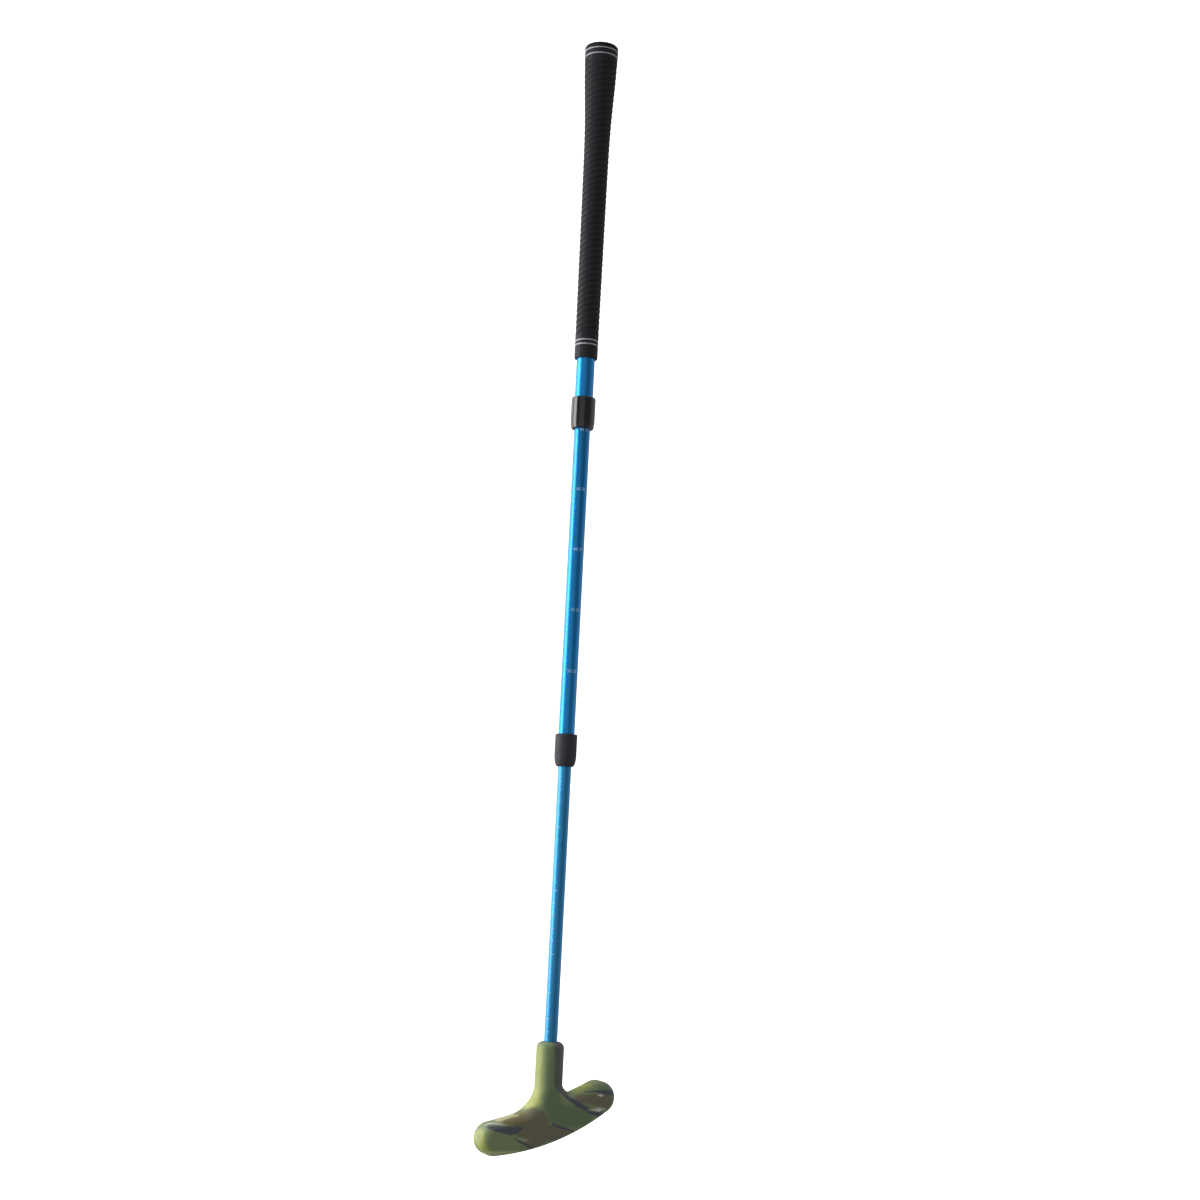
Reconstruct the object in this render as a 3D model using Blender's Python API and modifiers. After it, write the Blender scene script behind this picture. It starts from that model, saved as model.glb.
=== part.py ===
# Telescopic two-way golf putter, modelled as its separate pieces.
# Metres. The origin is the centre of the butt end and +Z points out of it, so the shaft runs down -Z.
# +X points to the heel, -Y is the front striking face and +Y the back one.
# Two twist locks hold the three tubes. Each is a split expander, wedged by a cone nut on a screw.

import math

import bmesh
import bpy
from mathutils import Matrix, Vector

MM = 0.001

# Gaps
FIT_GAP = 0.3 * MM          # between pieces fixed to each other
RUN_GAP = 0.3 * MM          # between pieces that turn or slide on each other

# Lengths along the shaft, from the butt down
GRIP_LENGTH = 273.0 * MM
UPPER_TUBE_SHOWN = 33.0 * MM
UPPER_COLLAR_LENGTH = 26.6 * MM
MIDDLE_TUBE_SHOWN = 251.9 * MM
LOWER_COLLAR_LENGTH = 26.0 * MM
LOWER_TUBE_SHOWN = 216.5 * MM

# Tubes, nested with a little play
UPPER_TUBE_OD = 15.0 * MM
TUBE_WALL = 0.8 * MM
UPPER_PLAY = 0.2 * MM       # radial, between the upper and the middle tube
LOWER_PLAY = 0.45 * MM      # radial, between the middle and the lower tube

# Grip: a straight taper with a flare that swells towards the butt
TAPE_THICKNESS = 0.3 * MM
TAPE_GAP = 0.15 * MM
TAPE_INSET = 8.0 * MM       # from the grip's mouth
GRIP_WALL = 1.5 * MM        # of the rubber at the mouth
GRIP_TAPER = 0.0055         # radius gained per length towards the butt
GRIP_FLARE = 3.1 * MM       # radius that the flare adds
FLARE_PLACE = 47.0 * MM     # from the butt, where the flare is half grown
FLARE_SPREAD = 15.0 * MM
MOUTH_ROUND = 1.2 * MM
RING_INSETS = (4.9 * MM, 9.8 * MM)          # ring grooves, from the butt
MOUTH_RING_INSETS = (11.5 * MM, 15.1 * MM)  # ring grooves, from the mouth
RING_WIDTH = 1.2 * MM
RING_DEPTH = 0.3 * MM
CAP_THICKNESS = 3.2 * MM
CAP_ROUND = 1.6 * MM
CAP_PLUG_LENGTH = 3.0 * MM
VENT_HOLE = 3.0 * MM

# Collars, pushed over the outer tubes' ends
COLLAR_WALL = 2.1 * MM      # over the upper tube
LOWER_COLLAR_WALL = 2.1 * MM
UPPER_GUIDE_LENGTH = 12.0 * MM   # bush below the outer tube's end
LOWER_GUIDE_LENGTH = 10.0 * MM
UPPER_COLLAR_CHIN = 6.0 * MM     # tapered bottom of the upper collar
UPPER_CHIN_DRAW = 0.8 * MM
CHIN_ROUND = 1.8 * MM
COLLAR_ROUND = 1.0 * MM
LOWER_NOSE_LENGTH = 9.0 * MM     # rounded bottom of the lower collar
LOWER_NOSE_LIP = 0.4 * MM

# Twist locks
UPPER_TUBE_OVERLAP = 40.0 * MM   # middle tube's top end above the upper collar's lower end
LOWER_TUBE_OVERLAP = 38.5 * MM
PLUG_LENGTH = 14.0 * MM
PLUG_FLANGE = 2.5 * MM
SCREW_SEAT = 10.0 * MM           # depth of the screw in its plug
UPPER_SCREW_OD = 5.0 * MM
LOWER_SCREW_OD = 4.0 * MM
THREAD_PITCH = 2.0 * MM
THREAD_DEPTH = 0.4 * MM
TWIST_TURNS = 1.5                # from locked to fully loose
EXPANDER_LENGTH = 22.0 * MM
EXPANDER_HEAD = 6.0 * MM         # unsplit top of the expander
UPPER_FINGER_WALL = 1.5 * MM
LOWER_FINGER_WALL = 1.2 * MM
NUT_LENGTH = 9.0 * MM
NUT_WALL = 0.7 * MM              # at the cone's thin end
KEY_WIDTH = 1.4 * MM
STOP_THICKNESS = 2.5 * MM
STOP_WALL = 1.6 * MM

# Head, in the plane of its faces: two round lobes, a long sole arc and two shallow top arcs
LIE_TILT = math.radians(20.0)    # the heel side rises by this, square to the shaft
BLADE_LENGTH = 118.0 * MM
BLADE_DROP = 63.0 * MM           # blade centre below the hosel's top, along the shaft
LOBE_RADIUS = 12.65 * MM
SOLE_RADIUS = 184.0 * MM
SOLE_DEPTH = 14.0 * MM           # below the blade's centre
TOP_RADIUS = 400.0 * MM
TOE_FILLET = 24.0 * MM
HEEL_FILLET = 7.0 * MM
BLADE_SWELL = 1.55 * MM          # each face stands this far in front of the hosel
EDGE_RADIUS = 8.0 * MM
HOSEL_ROUND = 5.0 * MM
SKIN = 3.0 * MM                  # rubber over the core
CORE_WALL = 2.1 * MM             # of the casting round the shaft
SOCKET_DEPTH = 42.0 * MM

# Facets
TUBE_STEPS = 40
GRIP_STEPS = 36
LOCK_STEPS = 24

# Radii that follow
UPPER_R = UPPER_TUBE_OD / 2
UPPER_BORE = UPPER_R - TUBE_WALL
MIDDLE_R = UPPER_BORE - UPPER_PLAY
MIDDLE_BORE = MIDDLE_R - TUBE_WALL
LOWER_R = MIDDLE_BORE - LOWER_PLAY
LOWER_BORE = LOWER_R - TUBE_WALL
TAPE_BORE = UPPER_R + TAPE_GAP
GRIP_BORE = TAPE_BORE + TAPE_THICKNESS + TAPE_GAP
SOCKET_R = LOWER_R + FIT_GAP
CORE_INSET = SKIN + FIT_GAP
HOSEL_R = SOCKET_R + CORE_WALL + CORE_INSET
BLADE_HALF_DEPTH = HOSEL_R + BLADE_SWELL

# Heights that follow
GRIP_MOUTH_Z = -GRIP_LENGTH
UPPER_COLLAR_Z = GRIP_MOUTH_Z - UPPER_TUBE_SHOWN
UPPER_COLLAR_END_Z = UPPER_COLLAR_Z - UPPER_COLLAR_LENGTH
UPPER_TUBE_END_Z = UPPER_COLLAR_END_Z + UPPER_GUIDE_LENGTH + FIT_GAP
LOWER_COLLAR_Z = UPPER_COLLAR_END_Z - MIDDLE_TUBE_SHOWN
LOWER_COLLAR_END_Z = LOWER_COLLAR_Z - LOWER_COLLAR_LENGTH
MIDDLE_TUBE_END_Z = LOWER_COLLAR_END_Z + LOWER_GUIDE_LENGTH + FIT_GAP
HOSEL_Z = LOWER_COLLAR_END_Z - LOWER_TUBE_SHOWN
UPPER_TUBE_TOP_Z = -(CAP_THICKNESS + CAP_PLUG_LENGTH + FIT_GAP)
MIDDLE_TUBE_TOP_Z = UPPER_COLLAR_END_Z + UPPER_TUBE_OVERLAP
LOWER_TUBE_TOP_Z = LOWER_COLLAR_END_Z + LOWER_TUBE_OVERLAP
LOWER_TUBE_END_Z = HOSEL_Z - SOCKET_DEPTH + FIT_GAP


def clear_scene():
    for thing in list(bpy.data.objects):
        bpy.data.objects.remove(thing, do_unlink=True)


def new_collection(name):
    group = bpy.data.collections.new(name)
    bpy.context.scene.collection.children.link(group)
    return group


def material(name, colour, roughness, metallic=0.0):
    made = bpy.data.materials.new(name)
    made.use_nodes = True
    shader = made.node_tree.nodes["Principled BSDF"]
    shader.inputs["Base Color"].default_value = (*colour, 1.0)
    shader.inputs["Roughness"].default_value = roughness
    shader.inputs["Metallic"].default_value = metallic
    made.diffuse_color = (*colour, 1.0)
    return made


def section_axis(group, name, z):
    """Empty on the shaft's axis, which carries the pieces of one moving section."""
    empty = bpy.data.objects.new(name, None)
    empty.empty_display_size = 0.02
    empty.location.z = z
    group.objects.link(empty)
    return empty


def place(piece, group, finish, z, axis=None):
    """Put a piece in its collection at height z, with its finish, under its section's empty."""
    group.objects.link(piece)
    piece.data.materials.append(finish)
    if axis:
        piece.parent = axis
        z -= axis.location.z
    piece.location.z = z
    return piece


def object_from_bmesh(name, shape):
    mesh = bpy.data.meshes.new(name)
    bmesh.ops.recalc_face_normals(shape, faces=shape.faces)
    shape.to_mesh(mesh)
    shape.free()
    return bpy.data.objects.new(name, mesh)


def turned(name, profile, steps):
    """Piece turned about Z from (radius, z) points that run down its outer side.

    A profile that starts and ends on the axis is solid. Any other is closed into a ring.
    """
    mesh = bpy.data.meshes.new(name)
    points = [(radius, 0.0, z) for radius, z in profile]
    edges = [(i, i + 1) for i in range(len(points) - 1)]
    solid = profile[0][0] == 0.0 and profile[-1][0] == 0.0
    if not solid:
        edges.append((len(points) - 1, 0))
    mesh.from_pydata(points, edges, [])
    piece = bpy.data.objects.new(name, mesh)
    screw = piece.modifiers.new("Turn", "SCREW")
    screw.axis = "Z"
    screw.angle = math.tau
    screw.steps = steps
    screw.render_steps = steps
    screw.use_merge_vertices = True
    screw.merge_threshold = 0.00001
    screw.use_smooth_shade = True
    return piece


def round_corner(centre, radius, start, end, steps):
    """Points of an arc in the (radius, z) plane, from one angle to another in degrees."""
    turn = [math.radians(start + (end - start) * i / steps) for i in range(steps + 1)]
    return [(centre[0] + radius * math.cos(a), centre[1] + radius * math.sin(a)) for a in turn]


def rod(name, radius, top, bottom, steps):
    """Plain cylinder about Z."""
    shape = bmesh.new()
    middle = Matrix.Translation((0.0, 0.0, (top + bottom) / 2))
    bmesh.ops.create_cone(shape, cap_ends=True, segments=steps, radius1=radius, radius2=radius,
                          depth=top - bottom, matrix=middle)
    return object_from_bmesh(name, shape)


def block(name, length, width, top, bottom, turn):
    """Box across the axis, turned about Z."""
    shape = bmesh.new()
    size = Matrix.Diagonal((length, width, top - bottom, 1.0))
    middle = Matrix.Translation((0.0, 0.0, (top + bottom) / 2))
    bmesh.ops.create_cube(shape, size=1.0, matrix=Matrix.Rotation(turn, 4, "Z") @ middle @ size)
    return object_from_bmesh(name, shape)


def combine(piece, tool, tools, operation):
    """Boolean of a piece with a hidden tool that keeps the piece's place."""
    tools.objects.link(tool)
    tool.parent = piece
    tool.hide_render = True
    tool.display_type = "WIRE"
    change = piece.modifiers.new(tool.name, "BOOLEAN")
    change.operation = operation
    change.solver = "EXACT"
    change.object = tool


def tube_profile(outer, bore, top, bottom):
    return [(bore, top), (outer, top), (outer, bottom), (bore, bottom)]


def grip_radius(z):
    """Outer radius of the grip at height z: a straight taper and a logistic flare."""
    taper = GRIP_BORE + GRIP_WALL + GRIP_TAPER * (z - GRIP_MOUTH_Z)
    flare = GRIP_FLARE / (1.0 + math.exp((-z - FLARE_PLACE) / FLARE_SPREAD))
    return taper + flare


def ring_groove(z):
    """Shallow groove round the grip, centred on height z."""
    half = RING_WIDTH / 2
    wall = RING_WIDTH / 6
    return [(grip_radius(z + half), z + half),
            (grip_radius(z) - RING_DEPTH, z + half - wall),
            (grip_radius(z) - RING_DEPTH, z - half + wall),
            (grip_radius(z - half), z - half)]


def make_grip_sleeve():
    top = -(CAP_THICKNESS + FIT_GAP)
    profile = [(grip_radius(top), top)]
    for inset in RING_INSETS:
        profile += ring_groove(-inset)
    last_ring = max(RING_INSETS) + RING_WIDTH
    first_mouth_ring = GRIP_LENGTH - max(MOUTH_RING_INSETS) - RING_WIDTH
    stations = 9
    for i in range(stations + 1):
        share = i / stations
        depth = last_ring + (first_mouth_ring - last_ring) * share ** 1.6
        profile.append((grip_radius(-depth), -depth))
    for inset in sorted(MOUTH_RING_INSETS, reverse=True):
        profile += ring_groove(GRIP_MOUTH_Z + inset)
    mouth = grip_radius(GRIP_MOUTH_Z) - MOUTH_ROUND
    profile += round_corner((mouth, GRIP_MOUTH_Z + MOUTH_ROUND), MOUTH_ROUND, 0, -90, 2)
    profile += [(UPPER_R + FIT_GAP, GRIP_MOUTH_Z),
                (UPPER_R + FIT_GAP, GRIP_MOUTH_Z + TAPE_INSET - FIT_GAP),
                (GRIP_BORE, GRIP_MOUTH_Z + TAPE_INSET - FIT_GAP),
                (GRIP_BORE, top)]
    return turned("grip_sleeve", profile, GRIP_STEPS)


def make_butt_cap():
    """Cap with a rounded rim, a short plug in the grip's bore and the vent hole through it."""
    rim = grip_radius(-CAP_THICKNESS)
    hole = VENT_HOLE / 2
    profile = [(hole, 0.0)]
    profile += round_corner((rim - CAP_ROUND, -CAP_ROUND), CAP_ROUND, 90, 0, 3)
    profile += [(rim, -CAP_THICKNESS),
                (GRIP_BORE - FIT_GAP, -CAP_THICKNESS),
                (GRIP_BORE - FIT_GAP, -CAP_THICKNESS - CAP_PLUG_LENGTH),
                (hole, -CAP_THICKNESS - CAP_PLUG_LENGTH)]
    return turned("butt_cap", profile, GRIP_STEPS)


def make_upper_collar():
    """Glossy collar: rounded rim, drawn-in chin, a seat for the outer tube and a guide below it."""
    outer = UPPER_R + FIT_GAP + COLLAR_WALL
    chin = outer - UPPER_CHIN_DRAW
    seat = UPPER_R + FIT_GAP
    guide = MIDDLE_R + RUN_GAP
    end = -UPPER_COLLAR_LENGTH
    shoulder = end + UPPER_GUIDE_LENGTH
    profile = [(seat, 0.0)]
    profile += round_corner((outer - COLLAR_ROUND, -COLLAR_ROUND), COLLAR_ROUND, 90, 0, 2)
    profile.append((outer, end + UPPER_COLLAR_CHIN))
    profile += round_corner((chin - CHIN_ROUND, end + CHIN_ROUND), CHIN_ROUND, 0, -90, 3)
    profile += [(guide, end), (guide, shoulder), (seat, shoulder)]
    return turned("upper_collar", profile, TUBE_STEPS)


def make_lower_collar():
    """Satin collar: square rim and a bullet nose that runs in to its guide."""
    outer = MIDDLE_R + FIT_GAP + LOWER_COLLAR_WALL
    seat = MIDDLE_R + FIT_GAP
    guide = LOWER_R + RUN_GAP
    end = -LOWER_COLLAR_LENGTH
    shoulder = end + LOWER_GUIDE_LENGTH
    draw = outer - guide - LOWER_NOSE_LIP
    profile = [(seat, 0.0), (outer, 0.0)]
    for r, z in round_corner((0.0, 0.0), 1.0, 0, -90, 6):
        profile.append((outer - draw + draw * r, end + LOWER_NOSE_LENGTH * (1.0 + z)))
    profile += [(guide, end), (guide, shoulder), (seat, shoulder)]
    return turned("lower_collar", profile, TUBE_STEPS)


def make_plug(name, tube_r, tube_bore, screw_r):
    """Plug whose flange rests on the tube's end, with a blind seat for the screw."""
    body = tube_bore - FIT_GAP
    hole = screw_r + FIT_GAP
    floor = -SCREW_SEAT - FIT_GAP
    bottom = -PLUG_FLANGE - PLUG_LENGTH
    chamfer = body / 8
    profile = [(0.0, floor), (hole, floor), (hole, 0.0), (tube_r, 0.0), (tube_r, -PLUG_FLANGE),
               (body, -PLUG_FLANGE), (body, bottom + chamfer), (body - chamfer, bottom), (0.0, bottom)]
    return turned(name, profile, LOCK_STEPS)


def make_screw(name, radius):
    """Stud with a right-hand thread where the nut travels, from its seat to past the stop ring."""
    top = 2 * RUN_GAP + EXPANDER_LENGTH + STOP_THICKNESS + FIT_GAP
    thread_start = 2 * RUN_GAP
    thread_end = thread_start + NUT_LENGTH + TWIST_TURNS * THREAD_PITCH + THREAD_PITCH
    sides = 14
    rings = [(-SCREW_SEAT, False), (0.0, False)]
    levels = round((thread_end - thread_start) / THREAD_PITCH * 4)
    for i in range(levels + 1):
        rings.append((thread_start + (thread_end - thread_start) * i / levels, True))
    rings += [(thread_end + RUN_GAP, False), (top, False)]
    shape = bmesh.new()
    loops = []
    for z, threaded in rings:
        loop = []
        for side in range(sides):
            turn = math.tau * side / sides
            valley = 0.5 - 0.5 * math.cos(math.tau * z / THREAD_PITCH - turn)
            r = radius - THREAD_DEPTH * valley if threaded else radius
            loop.append(shape.verts.new((r * math.cos(turn), r * math.sin(turn), z)))
        loops.append(loop)
    skin_loops(shape, loops)
    shape.faces.new(loops[0])
    shape.faces.new(loops[-1])
    return object_from_bmesh(name, shape)


def skin_loops(shape, loops):
    """Quads between neighbouring closed loops of equal length."""
    for low, high in zip(loops, loops[1:]):
        for side in range(len(low)):
            nxt = (side + 1) % len(low)
            shape.faces.new((low[side], low[nxt], high[nxt], high[side]))


def make_stop(name, screw_r):
    bore = screw_r + FIT_GAP
    outer = bore + STOP_WALL
    chamfer = STOP_WALL / 4
    profile = [(bore, STOP_THICKNESS), (outer - chamfer, STOP_THICKNESS), (outer, STOP_THICKNESS - chamfer),
               (outer, 0.0), (bore, 0.0)]
    return turned(name, profile, LOCK_STEPS)


class Cone:
    """Sizes that a lock's expander and its cone nut share."""

    def __init__(self, bore, finger_wall, screw_r):
        self.sleeve_r = bore - RUN_GAP
        self.nut_bore = screw_r + RUN_GAP
        self.thin_r = self.nut_bore + NUT_WALL
        self.thick_r = self.sleeve_r - finger_wall - RUN_GAP
        self.nut_z = RUN_GAP + TWIST_TURNS * THREAD_PITCH
        self.nut_top = self.nut_z + NUT_LENGTH
        self.slot_width = KEY_WIDTH + 2 * RUN_GAP
        self.slot_top = EXPANDER_LENGTH - EXPANDER_HEAD


def make_expander(name, cone, tools):
    """Split sleeve: four fingers with a tapered bore, on an unsplit head. It starts at z = 0."""
    mouth = cone.thick_r + RUN_GAP
    throat = cone.thin_r + RUN_GAP
    hole = cone.nut_bore
    head = cone.slot_top + EXPANDER_HEAD / 4
    chamfer = RUN_GAP
    profile = [(hole, EXPANDER_LENGTH), (cone.sleeve_r - chamfer, EXPANDER_LENGTH),
               (cone.sleeve_r, EXPANDER_LENGTH - chamfer), (cone.sleeve_r, 0.0), (mouth, 0.0),
               (mouth, cone.nut_z), (throat, cone.nut_top), (throat, head), (hole, head)]
    piece = turned(name, profile, LOCK_STEPS)
    for turn in (0.0, math.pi / 2):
        slot = block(f"{name}_slot", 3 * cone.sleeve_r, cone.slot_width, cone.slot_top, -cone.slot_width, turn)
        combine(piece, slot, tools, "DIFFERENCE")
    return piece


def make_cone_nut(name, cone, tools):
    """Cone that the screw draws into the fingers, with four keys that ride in their slots."""
    profile = [(0.0, NUT_LENGTH), (cone.thin_r, NUT_LENGTH), (cone.thick_r, 0.0), (0.0, 0.0)]
    piece = turned(name, profile, LOCK_STEPS)
    reach = cone.sleeve_r - RUN_GAP
    for turn in (0.0, math.pi / 2):
        key = block(f"{name}_key", 2 * reach, KEY_WIDTH, NUT_LENGTH * 0.6, NUT_LENGTH * 0.1, turn)
        combine(piece, key, tools, "UNION")
    bore = rod(f"{name}_bore", cone.nut_bore, NUT_LENGTH * 1.2, -NUT_LENGTH * 0.2, LOCK_STEPS)
    combine(piece, bore, tools, "DIFFERENCE")
    return piece


class Arc:
    """Arc of the head's outline, with the outward side of the material on it."""

    def __init__(self, centre, radius, start, end, convex, steps):
        self.centre = centre
        self.radius = radius
        self.start = start
        self.end = end
        self.convex = convex
        self.steps = steps

    def points(self):
        """(place, outward normal, share along the arc) at each step, both ends included."""
        found = []
        for i in range(self.steps + 1):
            share = i / self.steps
            turn = self.start + (self.end - self.start) * share
            spoke = Vector((math.cos(turn), math.sin(turn)))
            normal = spoke if self.convex else -spoke
            found.append((self.centre + spoke * self.radius, normal, share))
        return found


def heading(vector):
    return math.atan2(vector.y, vector.x)


def blade_point(along, up):
    """Point of the blade's own frame in the (x, z) plane, measured from the hosel's top."""
    c = math.cos(LIE_TILT)
    s = math.sin(LIE_TILT)
    return Vector((along * c - up * s, along * s + up * c - BLADE_DROP))


def head_arcs():
    """Arcs of the outline from the hosel's toe side, round the blade, to its heel side."""
    lobe_x = BLADE_LENGTH / 2 - LOBE_RADIUS
    sole_up = SOLE_RADIUS - SOLE_DEPTH
    lobe_up = sole_up - math.sqrt((SOLE_RADIUS - LOBE_RADIUS) ** 2 - lobe_x ** 2)
    top_up = lobe_up + math.sqrt((TOP_RADIUS + LOBE_RADIUS) ** 2 - lobe_x ** 2)
    sole = blade_point(0.0, sole_up)
    top = blade_point(0.0, top_up)
    toe = blade_point(-lobe_x, lobe_up)
    heel = blade_point(lobe_x, lobe_up)

    def fillet(side, radius):
        x = side * (HOSEL_R + radius)
        return Vector((x, top.y - math.sqrt((TOP_RADIUS - radius) ** 2 - (x - top.x) ** 2)))

    toe_fillet = fillet(-1, TOE_FILLET)
    heel_fillet = fillet(1, HEEL_FILLET)
    toe_bend = heading(toe_fillet - top)
    heel_bend = heading(heel_fillet - top)
    toe_top = heading(toe - top)
    heel_top = heading(heel - top)
    toe_sole = heading(toe - sole)
    heel_sole = heading(heel - sole)
    return [
        Arc(toe_fillet, TOE_FILLET, 0.0, toe_bend, False, 7),
        Arc(top, TOP_RADIUS, toe_bend, toe_top, False, 2),
        Arc(toe, LOBE_RADIUS, toe_top + math.pi, toe_sole + math.tau, True, 11),
        Arc(sole, SOLE_RADIUS, toe_sole, heel_sole, True, 9),
        Arc(heel, LOBE_RADIUS, heel_sole, heel_top + math.pi, True, 11),
        Arc(top, TOP_RADIUS, heel_top, heel_bend, False, 2),
        Arc(heel_fillet, HEEL_FILLET, heel_bend, -math.pi, False, 7),
    ]


def smooth(share):
    return share * share * (3.0 - 2.0 * share)


def head_outline():
    """(place, normal, roundness) round the outline. Roundness is 1 on the hosel and 0 on the blade."""
    arcs = head_arcs()
    path = []
    for index, arc in enumerate(arcs):
        for place_on, normal, share in arc.points():
            if path and (path[-1][0] - place_on).length < FIT_GAP:
                continue
            roundness = 0.0
            if index == 0:
                roundness = smooth(1.0 - share)
            if index == len(arcs) - 1:
                roundness = smooth(share)
            path.append((place_on, normal, roundness))
    return path


def head_section(place_on, normal, roundness, inset, quarter):
    """Points across the head's edge, from its front face round to its back one.

    The edge is a quarter circle at each face with a flat between them. On the hosel the
    quarters meet and make half of its circle, so there the last step of each is left out.
    """
    depth = BLADE_HALF_DEPTH + (HOSEL_R - BLADE_HALF_DEPTH) * roundness - inset
    edge = EDGE_RADIUS + (HOSEL_R - EDGE_RADIUS) * roundness
    edge = max(edge - inset, FIT_GAP)
    rim = place_on - normal * inset
    last = math.pi / 2 - roundness * math.pi / (4 * quarter + 2)
    front = []
    for i in range(quarter + 1):
        turn = last * i / quarter
        inward = edge * (1.0 - math.sin(turn))
        y = -(depth - edge) - edge * math.cos(turn)
        front.append(Vector((rim.x - normal.x * inward, y, rim.y - normal.y * inward)))
    back = [Vector((p.x, -p.y, p.z)) for p in reversed(front)]
    return front + back


def fill_between(shape, left, right):
    """Triangles between two rims that share their first vertex, from the top down."""
    a = b = 1
    shape.faces.new((left[0], left[1], right[1]))
    while a + 1 < len(left) or b + 1 < len(right):
        go_left = a + 1 < len(left)
        if go_left and b + 1 < len(right):
            go_left = left[a + 1].co.z > right[b + 1].co.z
        if go_left:
            shape.faces.new((left[a], left[a + 1], right[b]))
            a += 1
        else:
            shape.faces.new((left[a], right[b + 1], right[b]))
            b += 1


def head_form(name, inset, top, top_round, quarter):
    """Closed form of the head, drawn in by an inset all round, with its hosel cut off at a height.

    Strips run round the outline from face to face. The blade's faces are flat up to the two
    fillets, above which a neck runs into the hosel, whose ring is drawn up to its top.
    """
    outline = head_outline()
    first = outline[0][0].y
    last = outline[-1][0].y
    if first < last:
        outline.insert(0, (Vector((-HOSEL_R, last)), Vector((-1.0, 0.0)), 1.0))
    if last < first:
        outline.append((Vector((HOSEL_R, first)), Vector((1.0, 0.0)), 1.0))
    shape = bmesh.new()
    strips = []
    for place_on, normal, roundness in outline:
        section = head_section(place_on, normal, roundness, inset, quarter)
        if len(strips) == len(outline) - 1:
            inner = [shape.verts.new(p) for p in section[1:-1]]
            strips.append([strips[0][0]] + inner + [strips[0][-1]])
        else:
            strips.append([shape.verts.new(p) for p in section])
    for one, other in zip(strips, strips[1:]):
        for i in range(len(one) - 1):
            shape.faces.new((one[i], other[i], other[i + 1], one[i + 1]))
    blade = [i for i, (_, _, roundness) in enumerate(outline) if roundness == 0.0]
    for side in (0, -1):
        rim = [strip[side] for strip in strips]
        shape.faces.new(rim[blade[0]:blade[-1] + 1])
        fill_between(shape, rim[:blade[0] + 1], rim[:blade[-1] - 1:-1])
    ring = strips[0] + strips[-1][-2:0:-1]
    radius = HOSEL_R - inset
    levels = [(radius, top - top_round)]
    if top_round:
        corner = (radius - top_round, top - top_round)
        levels += round_corner(corner, top_round, 0, 90, 4)[1:]
    loops = [ring]
    for r, z in levels:
        loops.append([shape.verts.new((v.co.x * r / radius, v.co.y * r / radius, z)) for v in ring])
    skin_loops(shape, loops)
    shape.faces.new(loops[-1])
    return object_from_bmesh(name, shape)


def make_head_cover(tools):
    """Rubber skin with the core's space inside, and the shaft's hole through its top lip."""
    piece = head_form("head_cover", 0.0, 0.0, HOSEL_ROUND, 6)
    combine(piece, head_form("core_space", SKIN, -SKIN, 0.0, 3), tools, "DIFFERENCE")
    combine(piece, rod("cover_shaft_hole", SOCKET_R, SKIN, -2 * SKIN, TUBE_STEPS), tools, "DIFFERENCE")
    return piece


def make_head_core(tools):
    """Casting that fills the skin, with the socket that the shaft is glued into."""
    piece = head_form("head_core", CORE_INSET, -CORE_INSET, 0.0, 3)
    combine(piece, rod("core_socket", SOCKET_R, SKIN, -SOCKET_DEPTH, TUBE_STEPS), tools, "DIFFERENCE")
    return piece


def make_lock(prefix, cone, screw_r, tube, inner_top, turning, sliding, finishes, parts, tools):
    """Plug, screw and stop on the turning section, and the expander and its cone nut round them."""
    tube_r, tube_bore = tube
    flange = inner_top + FIT_GAP + PLUG_FLANGE
    stop = flange + 2 * RUN_GAP + EXPANDER_LENGTH
    plug = make_plug(f"{prefix}_plug", tube_r, tube_bore, screw_r)
    place(plug, parts, finishes["nylon"], flange, turning)
    place(make_screw(f"{prefix}_screw", screw_r), parts, finishes["steel"], flange, turning)
    place(make_stop(f"{prefix}_stop", screw_r), parts, finishes["steel"], stop, turning)
    expander = make_expander(f"{prefix}_expander", cone, tools)
    place(expander, parts, finishes["nylon"], flange + RUN_GAP, sliding)
    nut = make_cone_nut(f"{prefix}_cone", cone, tools)
    place(nut, parts, finishes["brass"], flange + RUN_GAP + cone.nut_z, sliding)


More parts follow.
